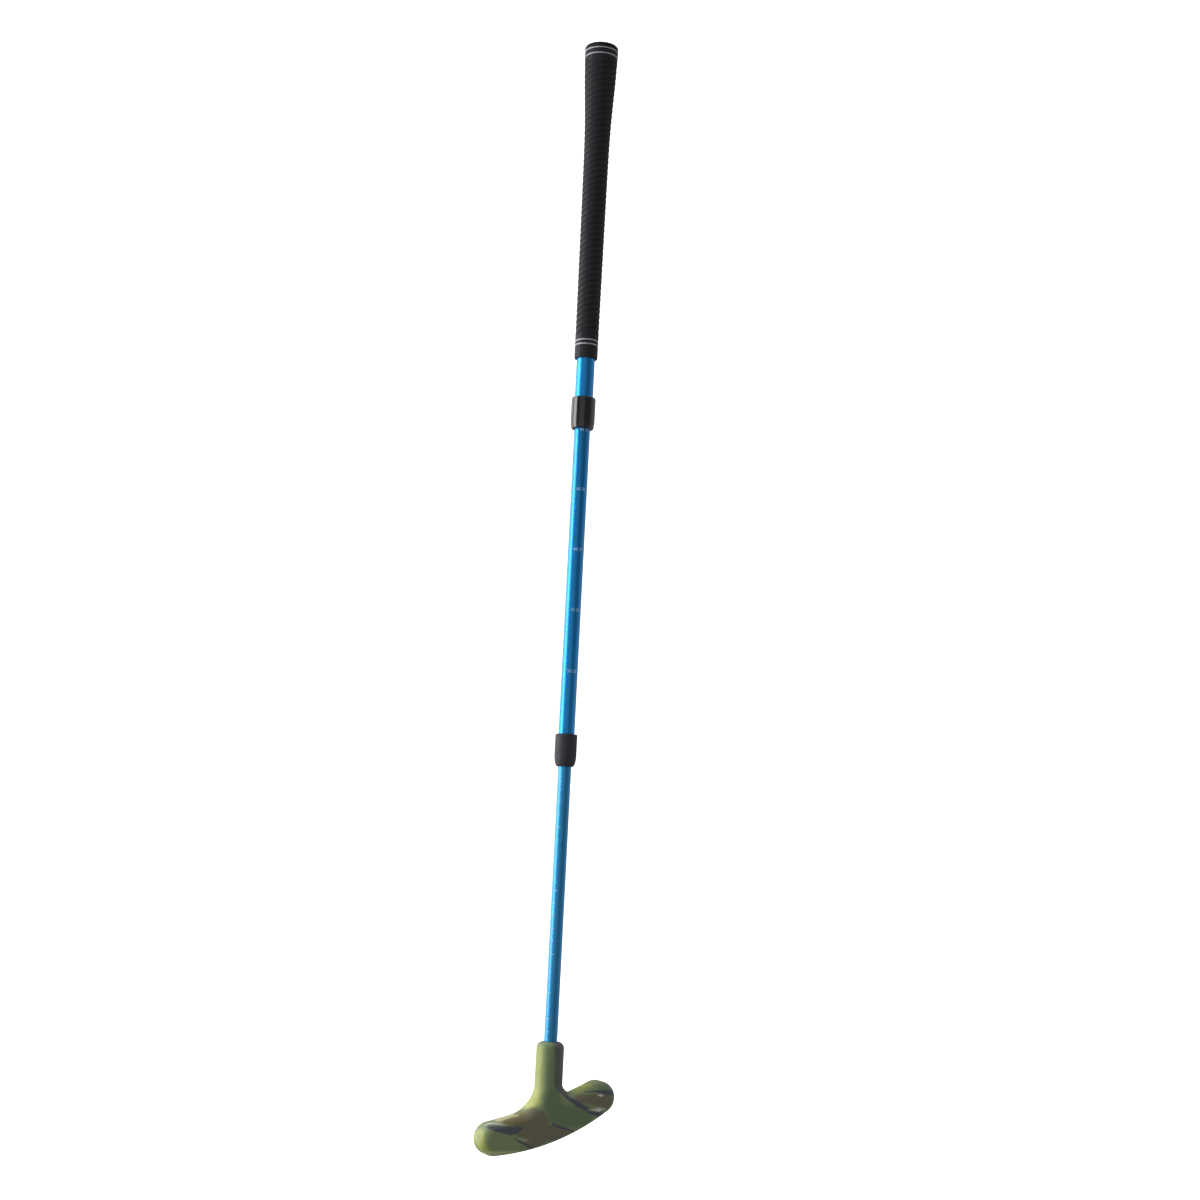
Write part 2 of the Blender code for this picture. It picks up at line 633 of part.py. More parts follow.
def build():
    clear_scene()
    parts = new_collection("telescopic_putter")
    tools = new_collection("cutters")
    finishes = {
        "rubber": material("grip_rubber", (0.012, 0.012, 0.013), 0.75),
        "cap": material("cap_rubber", (0.010, 0.010, 0.011), 0.6),
        "tape": material("grip_tape", (0.70, 0.66, 0.55), 0.9),
        "blue": material("anodised_blue", (0.010, 0.220, 0.560), 0.3, 1.0),
        "gloss": material("gloss_black_plastic", (0.010, 0.010, 0.012), 0.25),
        "satin": material("satin_black_plastic", (0.020, 0.020, 0.022), 0.5),
        "nylon": material("nylon", (0.55, 0.55, 0.52), 0.5),
        "steel": material("zinc_steel", (0.62, 0.62, 0.64), 0.35, 1.0),
        "brass": material("brass", (0.75, 0.55, 0.24), 0.3, 1.0),
        "core": material("cast_metal", (0.30, 0.30, 0.31), 0.5, 1.0),
        "camouflage": material("camouflage_rubber", (0.17, 0.22, 0.07), 0.5),
    }
    middle = section_axis(parts, "middle_section_axis", MIDDLE_TUBE_TOP_Z)
    lower = section_axis(parts, "lower_section_axis", LOWER_TUBE_TOP_Z)
    upper_slider = section_axis(parts, "upper_expander_axis", MIDDLE_TUBE_TOP_Z)
    lower_slider = section_axis(parts, "lower_expander_axis", LOWER_TUBE_TOP_Z)

    place(make_grip_sleeve(), parts, finishes["rubber"], 0.0)
    place(make_butt_cap(), parts, finishes["cap"], 0.0)
    tape_top = UPPER_TUBE_TOP_Z - TAPE_INSET
    tape = tube_profile(TAPE_BORE + TAPE_THICKNESS, TAPE_BORE, tape_top, GRIP_MOUTH_Z + TAPE_INSET)
    place(turned("grip_tape", tape, TUBE_STEPS), parts, finishes["tape"], 0.0)
    tube = tube_profile(UPPER_R, UPPER_BORE, UPPER_TUBE_TOP_Z, UPPER_TUBE_END_Z)
    place(turned("upper_tube", tube, TUBE_STEPS), parts, finishes["blue"], 0.0)
    place(make_upper_collar(), parts, finishes["gloss"], UPPER_COLLAR_Z)

    tube = tube_profile(MIDDLE_R, MIDDLE_BORE, 0.0, MIDDLE_TUBE_END_Z - MIDDLE_TUBE_TOP_Z)
    place(turned("middle_tube", tube, TUBE_STEPS), parts, finishes["blue"], MIDDLE_TUBE_TOP_Z, middle)
    place(make_lower_collar(), parts, finishes["satin"], LOWER_COLLAR_Z, middle)
    upper_cone = Cone(UPPER_BORE, UPPER_FINGER_WALL, UPPER_SCREW_OD / 2)
    make_lock("upper", upper_cone, UPPER_SCREW_OD / 2, (MIDDLE_R, MIDDLE_BORE), MIDDLE_TUBE_TOP_Z,
              middle, upper_slider, finishes, parts, tools)

    tube = tube_profile(LOWER_R, LOWER_BORE, 0.0, LOWER_TUBE_END_Z - LOWER_TUBE_TOP_Z)
    place(turned("lower_tube", tube, TUBE_STEPS), parts, finishes["blue"], LOWER_TUBE_TOP_Z, lower)
    lower_cone = Cone(MIDDLE_BORE, LOWER_FINGER_WALL, LOWER_SCREW_OD / 2)
    make_lock("lower", lower_cone, LOWER_SCREW_OD / 2, (LOWER_R, LOWER_BORE), LOWER_TUBE_TOP_Z,
              lower, lower_slider, finishes, parts, tools)
    place(make_head_core(tools), parts, finishes["core"], HOSEL_Z, lower)
    place(make_head_cover(tools), parts, finishes["camouflage"], HOSEL_Z, lower)


build()
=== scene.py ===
import math

import bmesh
import bpy
import numpy as np
from mathutils import Matrix, Vector


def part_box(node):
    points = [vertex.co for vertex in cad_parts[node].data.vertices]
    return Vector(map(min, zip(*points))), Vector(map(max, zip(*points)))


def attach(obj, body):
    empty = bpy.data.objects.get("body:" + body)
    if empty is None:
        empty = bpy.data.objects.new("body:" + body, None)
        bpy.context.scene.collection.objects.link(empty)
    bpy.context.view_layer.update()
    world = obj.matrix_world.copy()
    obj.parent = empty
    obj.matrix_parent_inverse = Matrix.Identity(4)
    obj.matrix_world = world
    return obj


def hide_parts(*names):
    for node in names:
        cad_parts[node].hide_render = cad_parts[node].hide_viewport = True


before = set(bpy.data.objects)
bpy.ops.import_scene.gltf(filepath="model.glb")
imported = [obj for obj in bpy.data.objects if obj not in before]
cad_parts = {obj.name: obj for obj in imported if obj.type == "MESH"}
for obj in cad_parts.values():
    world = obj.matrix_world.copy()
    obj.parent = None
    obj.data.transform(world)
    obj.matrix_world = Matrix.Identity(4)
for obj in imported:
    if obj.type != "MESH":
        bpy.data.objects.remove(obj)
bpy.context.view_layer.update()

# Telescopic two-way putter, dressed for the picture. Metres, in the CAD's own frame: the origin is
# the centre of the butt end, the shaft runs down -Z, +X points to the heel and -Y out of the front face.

mm = 0.001


# Camera: it stands on the toe's side, level with the lower tube, and looks up a little.
camera = {
    "place": (-0.5796, -1.4303, -0.6954),
    "turn": -22.863,    # degrees to the toe's side of the front
    "rise": 8.176,      # degrees upwards
    "roll": 2.842,      # degrees, which leans the club to the right
    "lens": 57.378,     # mm
    "sensor": 36,       # mm
    "clip": (0.01, 50.0),   # metres
}


def makeCamera(c):
    # The view direction comes from the turn and the rise. Right is square to it and level, and the
    # roll turns right and up about it.
    turn, rise, roll = (math.radians(c[k]) for k in ("turn", "rise", "roll"))
    ahead = Vector((-math.sin(turn) * math.cos(rise), math.cos(turn) * math.cos(rise), math.sin(rise)))
    right = ahead.cross(Vector((0, 0, 1))).normalized()
    up = right.cross(ahead)
    rolledRight = right * math.cos(roll) + up * math.sin(roll)
    rolledUp = up * math.cos(roll) - right * math.sin(roll)
    data = bpy.data.cameras.new("photoCamera")
    data.sensor_width = c["sensor"]
    data.lens = c["lens"]
    data.clip_start, data.clip_end = c["clip"]
    made = bpy.data.objects.new("photoCamera", data)
    turned = Matrix((rolledRight, rolledUp, -ahead)).transposed().to_4x4()
    made.matrix_world = Matrix.Translation(c["place"]) @ turned
    bpy.context.scene.collection.objects.link(made)
    bpy.context.scene.camera = made


makeCamera(camera)
print("camera set")


# Meshes

def gridFaces(rows, columns, closedRows=False, closedColumns=False):
    # Four corners of each cell between neighbouring rows and columns, numbered row by row.
    row = np.arange(rows if closedRows else rows - 1)[:, None]
    column = np.arange(columns if closedColumns else columns - 1)[None, :]
    nextRow = (row + 1) % rows
    nextColumn = (column + 1) % columns
    corners = (row * columns + column, nextRow * columns + column,
               nextRow * columns + nextColumn, row * columns + nextColumn)
    return np.stack(corners, axis=-1).reshape(-1, 4)


def newPiece(name, points, faces, body, finish, sharp=38):
    # Points are an array of (x, y, z), and faces an array of their corners' numbers. Edges that turn by
    # more than sharp degrees stay sharp.
    mesh = bpy.data.meshes.new(name)
    mesh.from_pydata(np.asarray(points, dtype=float).reshape(-1, 3), [], faces.tolist())
    mesh.materials.append(finish)
    mesh.shade_smooth()
    mesh.set_sharp_from_angle(angle=math.radians(sharp))
    piece = bpy.data.objects.new(name, mesh)
    bpy.context.scene.collection.objects.link(piece)
    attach(piece, body)
    return piece


def turnedGrid(radius, height, around):
    # Radius and height are arrays over (row, column), or over rows alone. The point is the radius times
    # (cos, sin) of the column's angle, at that height.
    turn = np.linspace(0, 2 * np.pi, around, endpoint=False)
    radius, height = np.broadcast_arrays(np.atleast_2d(radius.T).T, np.atleast_2d(height.T).T)
    radius = np.broadcast_to(radius, (radius.shape[0], around))
    height = np.broadcast_to(height, radius.shape)
    return np.stack([radius * np.cos(turn), radius * np.sin(turn), height], axis=-1)


def turnedPiece(name, profile, around, body, finish, sharp=38):
    # A closed profile of (radius, z) points, which runs down its outer side, turned about Z.
    profile = np.array(profile)
    points = turnedGrid(profile[:, 0], profile[:, 1], around)
    faces = gridFaces(len(profile), around, True, True)
    return newPiece(name, points, faces, body, finish, sharp)


def roundedProfile(corners, steps=6):
    # Corners are (radius, z, rounding). Each is replaced by the arc that touches both its sides: the arc
    # starts at rounding / tan(half the corner's angle) from the corner.
    straight = 1.55     # radians: half of a corner so wide that it needs no arc
    made = []
    for k, (r, z, rounding) in enumerate(corners):
        corner = np.array([r, z])
        before = np.array(corners[k - 1][:2]) - corner
        after = np.array(corners[(k + 1) % len(corners)][:2]) - corner
        before = before / np.linalg.norm(before)
        after = after / np.linalg.norm(after)
        half = math.acos(np.clip(before @ after, -1, 1)) / 2
        if rounding == 0 or half > straight:
            made.append(corner)
            continue
        reach = rounding / math.tan(half)
        middle = corner + (before + after) / np.linalg.norm(before + after) * rounding / math.sin(half)
        start = corner + before * reach - middle
        end = corner + after * reach - middle
        share = np.linspace(0, 1, steps)[:, None]
        spoke = start * (1 - share) + end * share
        made.extend(middle + spoke / np.linalg.norm(spoke, axis=1)[:, None] * rounding)
    return np.array(made)


# Materials

def colour(code):
    # sRGB hex to linear light: c / 12.92 up to 0.04045, and ((c + 0.055) / 1.055) ** 2.4 above.
    parts = [int(code[i:i + 2], 16) / 255 for i in (1, 3, 5)]
    return (*[c / 12.92 if c <= 0.04045 else ((c + 0.055) / 1.055) ** 2.4 for c in parts], 1)


def addNode(tree, kind, sockets=None, links=None, **settings):
    # One node with its settings, the values of its sockets and what feeds them.
    node = tree.nodes.new(kind)
    for key, value in settings.items():
        setattr(node, key, value)
    for key, value in (sockets or {}).items():
        node.inputs[key].default_value = value
    for key, source in (links or {}).items():
        tree.links.new(source, node.inputs[key])
    return node


def feed(tree, value, socket):
    # Links another socket to this one, or sets it to a plain value.
    if isinstance(value, bpy.types.NodeSocket):
        tree.links.new(value, socket)
    else:
        socket.default_value = value


def maths(tree, operation, *values):
    # A maths node, whose values are sockets or plain numbers.
    node = addNode(tree, "ShaderNodeMath", operation=operation)
    for value, socket in zip(values, node.inputs):
        feed(tree, value, socket)
    return node.outputs[0]


def spots(tree, place, size, detail=2.0, roughness=0.5):
    # Noise from 0 to 1, whose spots are about size mm across.
    settings = {"Scale": 1 / size, "Detail": detail, "Roughness": roughness}
    return addNode(tree, "ShaderNodeTexNoise", settings, {"Vector": place}).outputs[0]


def longSpots(tree, place, sizes, detail):
    # The same noise, stretched to spots of three sizes in mm along x, y and z.
    stretched = addNode(tree, "ShaderNodeMapping", {"Scale": [1 / size for size in sizes]},
                        {"Vector": place})
    return spots(tree, stretched.outputs[0], 1, detail)


def spread(tree, value, fromLow, fromHigh, low=0.0, high=1.0, smooth=False):
    # Carries the range from fromLow to fromHigh over to low to high, and holds it beyond.
    settings = {"From Min": fromLow, "From Max": fromHigh, "To Min": low, "To Max": high}
    return addNode(tree, "ShaderNodeMapRange", settings, {"Value": value},
                   interpolation_type="SMOOTHSTEP" if smooth else "LINEAR").outputs[0]


def varied(tree, noise, rough, change):
    # A roughness that varies by the change to both sides. Noise seldom leaves 0.3 to 0.7.
    return spread(tree, noise, 0.3, 0.7, rough - change, rough + change)


def twoTones(tree, share, first, second):
    # Two colours, mixed by a share from 0 to 1. The first is a hex colour or one that other nodes made.
    made = addNode(tree, "ShaderNodeMix", {7: colour(second)}, {0: share}, data_type="RGBA")
    feed(tree, colour(first) if isinstance(first, str) else first, made.inputs[6])
    return made.outputs[2]


def feedShader(tree, shader, tint, rough, relief=None, strength=0.0, depth=0.0):
    # The shader's colour, its roughness and, where there is a relief, a bump of that depth in mm.
    tree.links.new(tint, shader.inputs["Base Color"])
    tree.links.new(rough, shader.inputs["Roughness"])
    if relief is not None:
        bump = addNode(tree, "ShaderNodeBump", {"Strength": strength, "Distance": depth * mm},
                       {"Height": relief})
        tree.links.new(bump.outputs[0], shader.inputs["Normal"])


def newMaterial(name, **constants):
    # A principled shader with its constant sockets, and the object's own coordinates in millimetres.
    made = bpy.data.materials.new(name)
    made.use_nodes = True
    tree = made.node_tree
    shader = tree.nodes["Principled BSDF"]
    for key, value in constants.items():
        shader.inputs[key.replace("_", " ")].default_value = value
    place = addNode(tree, "ShaderNodeTexCoord")
    scaled = addNode(tree, "ShaderNodeVectorMath", {"Scale": 1 / mm}, {0: place.outputs["Object"]},
                     operation="SCALE")
    return made, tree, shader, scaled.outputs[0]


# Black rubber, compression moulded and lightly buffed, with a fine grain. Ribs' tops are buffed smoother
# than the valleys between them, and the valleys are painted darker as shade.
def mouldedRubber(name, dark, light, rough, grain, ribs=None):
    made, tree, shader, place = newMaterial(name, Specular_IOR_Level=0.09)
    # grain in mm, drawn two or three times as coarse as the real 0.2 mm so that it shows
    fine = spots(tree, place, grain, detail=3.0, roughness=0.6)
    worn = spots(tree, place, 14, detail=4.0)
    tint = twoTones(tree, worn, dark, light)
    shine = varied(tree, worn, rough, change=0.05)
    if ribs:
        # cos(2 pi depth / gap + starts * turn) is 1 on a rib's top and -1 in a valley. The painted shade and
        # the dullness of the valleys begin below 0.4 and are full at -0.6.
        split = addNode(tree, "ShaderNodeSeparateXYZ", links={0: place})
        turn = maths(tree, "ARCTAN2", split.outputs[1], split.outputs[0])
        turns = maths(tree, "MULTIPLY", turn, ribs["ribStarts"])
        phase = maths(tree, "MULTIPLY_ADD", split.outputs[2], -2 * math.pi / ribs["ribGap"], turns)
        valley = spread(tree, maths(tree, "COSINE", phase), 0.4, -0.6, smooth=True)
        # no ribs beyond their first and last depth
        first, last = ribs["ribs"]
        ribbed = maths(tree, "COMPARE", split.outputs[2], -(first + last) / 2, (last - first) / 2)
        shown = maths(tree, "MULTIPLY", valley, ribbed)
        # painted shade: the valleys take a darker colour
        tint = twoTones(tree, shown, tint, ribs["valley"])
        shine = maths(tree, "MULTIPLY_ADD", shown, ribs["valleyDull"], shine)
    feedShader(tree, shader, tint, shine, fine, strength=0.6, depth=0.06)
    return made


# Aluminium, drawn through a die and blue anodised: a tinted metal under a thin clear sealed film, with
# faint lines along the tube.
def anodisedAluminium(name, dark, light, rough, sealed):
    made, tree, shader, place = newMaterial(name, Metallic=1.0, Coat_Weight=sealed, Coat_Roughness=0.2)
    # die lines about 0.15 mm apart, drawn at 0.4 mm so that they show
    lines = longSpots(tree, place, (0.4, 0.4, 50), detail=3.0)
    tint = twoTones(tree, spots(tree, place, 30), dark, light)
    feedShader(tree, shader, tint, varied(tree, lines, rough, change=0.04), lines, strength=0.15, depth=0.02)
    return made


# Plastics, injection moulded: polished ABS for the upper collar, spark-textured polypropylene for the lower
# one, and nylon inside. The grip's paper tape is as matt and creased as the coarsest of them.
def mouldedPlastic(name, dark, light, rough, grain, depth, shine=0.5):
    made, tree, shader, place = newMaterial(name, Specular_IOR_Level=shine)
    # grain in mm of the mould's texture
    fine = spots(tree, place, grain)
    cloud = spots(tree, place, 8, detail=3.0)
    tint = twoTones(tree, cloud, dark, light)
    sheen = varied(tree, cloud, rough, change=rough * 0.15)
    feedShader(tree, shader, tint, sheen, fine, strength=0.5, depth=depth)
    return made


# Screen-printing ink: an even, slightly chalky film with thin spots.
def printingInk(name, thick, thin):
    made, tree, shader, place = newMaterial(name, Roughness=0.55)
    thinness = spots(tree, place, 0.5)
    tree.links.new(twoTones(tree, thinness, thick, thin), shader.inputs["Base Color"])
    return made


# Bare metals inside: turned or plated, with fine lines round the axis.
def machinedMetal(name, dark, light, rough, lineGap):
    made, tree, shader, place = newMaterial(name, Metallic=1.0)
    # tool marks one above the other, lineGap mm apart
    lines = longSpots(tree, place, (20, 20, lineGap), detail=2.0)
    feedShader(tree, shader, twoTones(tree, lines, dark, light), varied(tree, lines, rough, change=0.06))
    return made


capRubber = mouldedRubber("mouldedCapRubber", "#1E1E21", "#232326", rough=0.5, grain=0.6)
blueAluminium = anodisedAluminium("anodisedBlueAluminium", "#1374B2", "#1A80C0", rough=0.42, sealed=0.35)
dullAluminium = anodisedAluminium("dullAnodisedBlueAluminium", "#297BAD", "#3188BA", rough=0.53,
                                  sealed=0.35)
glossAbs = mouldedPlastic("polishedBlackAbs", "#111117", "#17171D", rough=0.14, grain=0.5, depth=0.0008,
                          shine=0.55)
satinPlastic = mouldedPlastic("satinBlackPolypropylene", "#2D2C32", "#343338", rough=0.6, grain=0.25,
                              depth=0.02, shine=0.2)
whiteInk = printingInk("thinWhiteScreenInk", "#8FBDE4", "#76A5D0")
ringPaint = printingInk("paleRingPaint", "#A2A0A6", "#8A888E")
naturalNylon = mouldedPlastic("naturalNylon", "#B9B7AC", "#C8C6BB", rough=0.45, grain=0.3, depth=0.01)
creasedTape = mouldedPlastic("crepedMaskingTape", "#C9BE9B", "#D8CFB0", rough=0.85, grain=0.35, depth=0.05)
platedSteel = machinedMetal("zincPlatedSteel", "#A9ABB0", "#C2C4C8", rough=0.32, lineGap=0.12)
turnedBrass = machinedMetal("turnedBrass", "#B8924C", "#D2AE68", rough=0.26, lineGap=0.1)
castZinc = machinedMetal("dieCastZinc", "#76777A", "#8A8B8E", rough=0.55, lineGap=1.2)
print("materials made")


# The grip: a tapered sleeve of rubber with four starts of slanted ribs and four painted ring grooves
grip = {
    # in mm, and depths from the butt
    "mouthRadius": 9.6,
    "taper": 0.0055,                # radius gained per length towards the butt
    "flare": (3.1, 47.0, 15.0),     # radius added, where it is half grown, how fast it grows
    "rings": (4.9, 9.8, 257.9, 261.5),
    "ringWidth": 1.2,
    "ringDepth": 0.3,
    "ringEdge": 0.24,               # width of each side of a ring's groove
    "ringRows": (0.9, 15),          # half width and number of the close rows over a ring
    "paint": (0.14, 0.05, 0.03),    # over and under the groove's floor, and short of its sides
    "ribs": (15.5, 252.5),          # first and last
    "ribGap": 5.0,                  # from rib to rib along the grip
    "ribStarts": 4,
    "ribDepth": 0.32,
    "ribCrest": 0.8,                # power of the ribs' wave, whose tops it widens
    "ribFade": 2.0,                 # length over which the ribs begin and end
    "ribMargin": 1.5,               # length beyond them that has even rows too
    # colour of the painted shade in the ribs' valleys
    "valley": "#212124",
    "valleyDull": 0.25,             # added to the roughness in the valleys
    "mouthRound": 1.2,
    "mouthLip": (7.8, 7.7),         # inner radius and length, below the wider bore
    "bore": 8.1,
    "rowGap": 0.5,                  # from row to row over the ribs
    "around": 112,
}
gripRubber = mouldedRubber("mouldedGripRubber", "#252529", "#2B2B2F", rough=0.4, grain=0.4, ribs=grip)


def gripRadius(g, depth):
    # Straight taper plus a logistic flare:
    # mouth + taper * (length - depth) + swell / (1 + e^((depth - place) / pace))
    swell, place, pace = g["flare"]
    length = -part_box("grip_sleeve")[0].z / mm
    return g["mouthRadius"] + g["taper"] * (length - depth) + swell / (1 + np.exp((depth - place) / pace))


def gripPoints(g):
    # Outer side: the grip's radius, less a smooth step at each ring groove, less the ribs' valleys. A rib
    # is a raised cosine of (depth + starts * gap * turn / full turn) / gap, faded out at both ends.
    low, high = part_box("grip_sleeve")
    top, mouth = -high.z / mm, -low.z / mm
    around, (first, last), (half, count) = g["around"], g["ribs"], g["ringRows"]
    ribbed = np.arange(first - g["ribMargin"], last + g["ribMargin"], g["rowGap"])
    grooves = [np.linspace(ring - half, ring + half, count) for ring in g["rings"]]
    depth = np.concatenate([[top], *grooves, ribbed, [mouth - g["mouthRound"]]])
    depth = np.unique(depth.round(3))[:, None]
    turn = np.linspace(0, 2 * np.pi, around, endpoint=False)[None, :]
    phase = (depth + g["ribStarts"] * g["ribGap"] * turn / (2 * np.pi)) / g["ribGap"]
    rib = (0.5 + 0.5 * np.cos(2 * np.pi * phase)) ** g["ribCrest"]
    fade = np.clip((depth - first) / g["ribFade"], 0, 1) * np.clip((last - depth) / g["ribFade"], 0, 1)
    radius = gripRadius(g, depth) - g["ribDepth"] * (1 - rib) * fade
    for ring in g["rings"]:
        side = (g["ringWidth"] + g["ringEdge"]) / 2 - np.abs(depth - ring)
        edge = np.clip(side / g["ringEdge"], 0, 1)
        radius = radius - g["ringDepth"] * edge * edge * (3 - 2 * edge)
    # the mouth's lip is a quarter circle, and the inner side has a short neck below the bore
    bend = np.linspace(0, np.pi / 2, 7)[:, None]
    lipRadius = gripRadius(g, mouth) - g["mouthRound"] * (1 - np.cos(bend))
    lipDepth = mouth - g["mouthRound"] * (1 - np.sin(bend))
    neck, neckLength = g["mouthLip"]
    step = mouth - neckLength
    inner = np.array([[neck, mouth], [neck, step], [g["bore"], step], [g["bore"], top]])
    radii = np.concatenate([radius, np.tile(lipRadius, around), np.tile(inner[:, :1], around)])
    depths = np.concatenate([depth, lipDepth, inner[:, 1:]])
    return turnedGrid(radii * mm, -depths * mm, around)


gripGrid = gripPoints(grip)
gripPiece = newPiece("gripRubber", gripGrid, gridFaces(*gripGrid.shape[:2], True, True), "grip_section",
                     gripRubber, sharp=50)
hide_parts("grip_sleeve")

over, under, short = grip["paint"]
for number, ring in enumerate(grip["rings"]):
    floor = gripRadius(grip, ring) - grip["ringDepth"]
    half = grip["ringWidth"] / 2 - short
    band = [(floor + over, half - ring), (floor + over, -half - ring),
            (floor - under, -half - ring), (floor - under, half - ring)]
    turnedPiece(f"gripRing{number + 1}", np.array(band) * mm, grip["around"], "grip_section", ringPaint)
print("grip made,", len(gripPiece.data.polygons), "faces")


# The butt cap: a flat disc with a rounded rim, a shallow moulded dish and the vent hole
cap = {
    # in mm
    "round": 1.6,
    "thickness": 3.2,
    "plug": (7.8, 3.0),     # radius and length of the boss inside the grip
    "vent": 1.5,
    "dish": (4.5, 9.2),     # inner and outer radius
    "dishDepth": 0.35,
    "dishSide": 0.3,        # width of its slanted sides
    "soft": 0.1,            # rounding of the dish's edges and the corner under the rim
    "edge": 0.3,            # rounding of the vent's mouth and the boss's end
}


def capCorners(c, rim):
    # Down the outer side, from the vent over the dish and the rim to the boss.
    inner, outer = c["dish"]
    plug, plugLength = c["plug"]
    below = -c["thickness"]
    side, bottom, soft = c["dishSide"], -c["dishDepth"], c["soft"]
    return [(c["vent"], 0, c["edge"]), (inner, 0, soft), (inner + side, bottom, soft),
            (outer, bottom, soft), (outer + side, 0, soft), (rim, 0, c["round"]), (rim, below, soft),
            (plug, below, 0), (plug, below - plugLength, c["edge"]), (c["vent"], below - plugLength, 0)]


capProfile = roundedProfile(capCorners(cap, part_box("butt_cap")[1].x / mm), steps=7)
capPiece = turnedPiece("buttCap", capProfile * mm, grip["around"], "grip_section", capRubber)
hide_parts("butt_cap")


# The three tubes, with the edges of their cut ends just broken
tubes = {
    "wall": 0.8,        # mm
    "edge": 0.15,       # mm
    "around": 128,
    # node, body and finish, which is duller on the thin tube
    "nodes": (("upper_tube", "grip_section", blueAluminium),
              ("middle_tube", "middle_section", blueAluminium),
              ("lower_tube", "lower_section", dullAluminium)),
}
for node, body, finish in tubes["nodes"]:
    low, high = (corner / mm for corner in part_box(node))
    bore, edge = high.x - tubes["wall"], tubes["edge"]
    ends = [(bore, high.z, 0), (high.x, high.z, edge), (high.x, low.z, edge), (bore, low.z, 0)]
    profile = roundedProfile(ends, steps=4) * mm
    name = node.split("_")[0] + "Tube"
    piece = turnedPiece(name, profile, tubes["around"], body, finish)
    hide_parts(node)
print("tubes made")


# The two collars: one polished with a drawn-in chin, one satin with a bullet nose at its bottom
collars = {
    # in mm: radii of the seat on the outer tube and of the bore for the inner one, and the bore's length;
    # then how high the foot narrows and how far it is drawn in, or the nose's height and the lip's width
    "upper": {"seat": 7.8, "bore": 6.8, "guide": 12.0, "topRound": 1.0,
              "chin": 6.0, "draw": 0.8, "chinRound": 2.0, "lipRound": 1.75},
    "lower": {"seat": 6.8, "bore": 5.55, "guide": 10.0, "topRound": 0.45, "nose": 9.0, "lip": 0.4},
    "seatRound": 0.2,
    "boreRound": 0.1,
    "around": 128,
}
low, high = (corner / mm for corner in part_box("upper_collar"))
c = collars["upper"]
upperProfile = roundedProfile([
    (c["seat"], high.z, collars["seatRound"]), (high.x, high.z, c["topRound"]),
    (high.x, low.z + c["chin"], c["chinRound"]), (high.x - c["draw"], low.z, c["lipRound"]),
    (c["bore"], low.z, collars["boreRound"]), (c["bore"], low.z + c["guide"], 0),
    (c["seat"], low.z + c["guide"], 0)], steps=8)
upperCollar = turnedPiece("upperCollar", upperProfile * mm, collars["around"], "grip_section", glossAbs,
                          sharp=60)
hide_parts("upper_collar")

low, high = (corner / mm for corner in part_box("lower_collar"))
c = collars["lower"]
# the nose is a quarter of an ellipse: (draw * cos, nose * sin) of an angle from 0 to a quarter turn
draw = high.x - c["bore"] - c["lip"]
nose = [(high.x - draw + draw * math.cos(bend), low.z + c["nose"] * (1 - math.sin(bend)), 0)
        for bend in np.linspace(0, math.pi / 2, 24)]
lowerProfile = roundedProfile([
    (c["seat"], high.z, collars["seatRound"]), (high.x, high.z, c["topRound"]), *nose,
    (c["bore"], low.z, 0), (c["bore"], low.z + c["guide"], 0), (c["seat"], low.z + c["guide"], 0)])
lowerCollar = turnedPiece("lowerCollar", lowerProfile * mm, collars["around"], "middle_section",
                          satinPlastic, sharp=60)
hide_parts("lower_collar")
print("collars made")


# Printed scales: a dash each centimetre, a longer one each fifth, and plain numbers on the middle tube
scales = {
    # in mm, with depths below the butt and turns in degrees from +X
    "middle": {"tube": "middle_tube", "first": 353.3, "last": 563.3, "long": 383.3, "dash": 1.9,
               "longDash": 2.6, "tall": 0.7, "turn": -159.0},
    "lower": {"tube": "lower_tube", "first": 619.3, "last": 819.3, "long": 659.3, "dash": 2.1,
              "longDash": 4.4, "tall": 0.75, "turn": -146.0},
    "gap": 10.0,
    "longEach": 50,
    # the club's length in cm and in inches, a little below the mark; a word is cut into strips over half
    # its width to each side
    "numbers": {"tube": "middle_tube", "first": 333.3, "gap": 50.0,
                "words": ("90 35", "85 33", "80 31", "75 30", "70 28"),
                "size": 3.6, "bold": 0.08, "turn": -94.0, "lower": 0.5, "half": 5.1, "strip": 0.3},
    "proud": 0.03,      # how far the ink stands out of the tube
    "film": 0.05,       # its thickness, which reaches into the tube
}


def bentPatch(radius, turn, height, wide, tall):
    # A small rectangle bent round the tube: the angle runs over width / radius and z over the height.
    angle = math.radians(turn) + np.linspace(-0.5, 0.5, 9) * wide / radius
    z = height + np.array([0.5, -0.5]) * tall
    z, angle = np.meshgrid(z, angle, indexing="ij")
    return np.stack([radius * np.cos(angle), radius * np.sin(angle), z], axis=-1)


def joinedPatches(patches):
    # All patches have the same grid, so their faces are one patch's faces counted on.
    rows, columns = patches[0].shape[:2]
    step = rows * columns
    faces = gridFaces(rows, columns)
    points = np.concatenate([patch.reshape(-1, 3) for patch in patches])
    return points, np.concatenate([faces + k * step for k in range(len(patches))])


def inkPiece(name, points, faces, body):
    piece = newPiece(name, points * mm, faces, body, whiteInk)
    film = piece.modifiers.new("film", "SOLIDIFY")
    film.thickness = scales["film"] * mm
    film.offset = -1


for which, body in (("middle", "middle_section"), ("lower", "lower_section")):
    s = scales[which]
    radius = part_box(s["tube"])[1].x / mm + scales["proud"]
    patches = []
    for mark in np.arange(s["first"], s["last"] + 1, scales["gap"]):
        long = round(mark - s["long"]) % scales["longEach"] == 0
        wide = s["longDash"] if long else s["dash"]
        patches.append(bentPatch(radius, s["turn"], -mark, wide, s["tall"]))
    inkPiece(which + "Scale", *joinedPatches(patches), body)


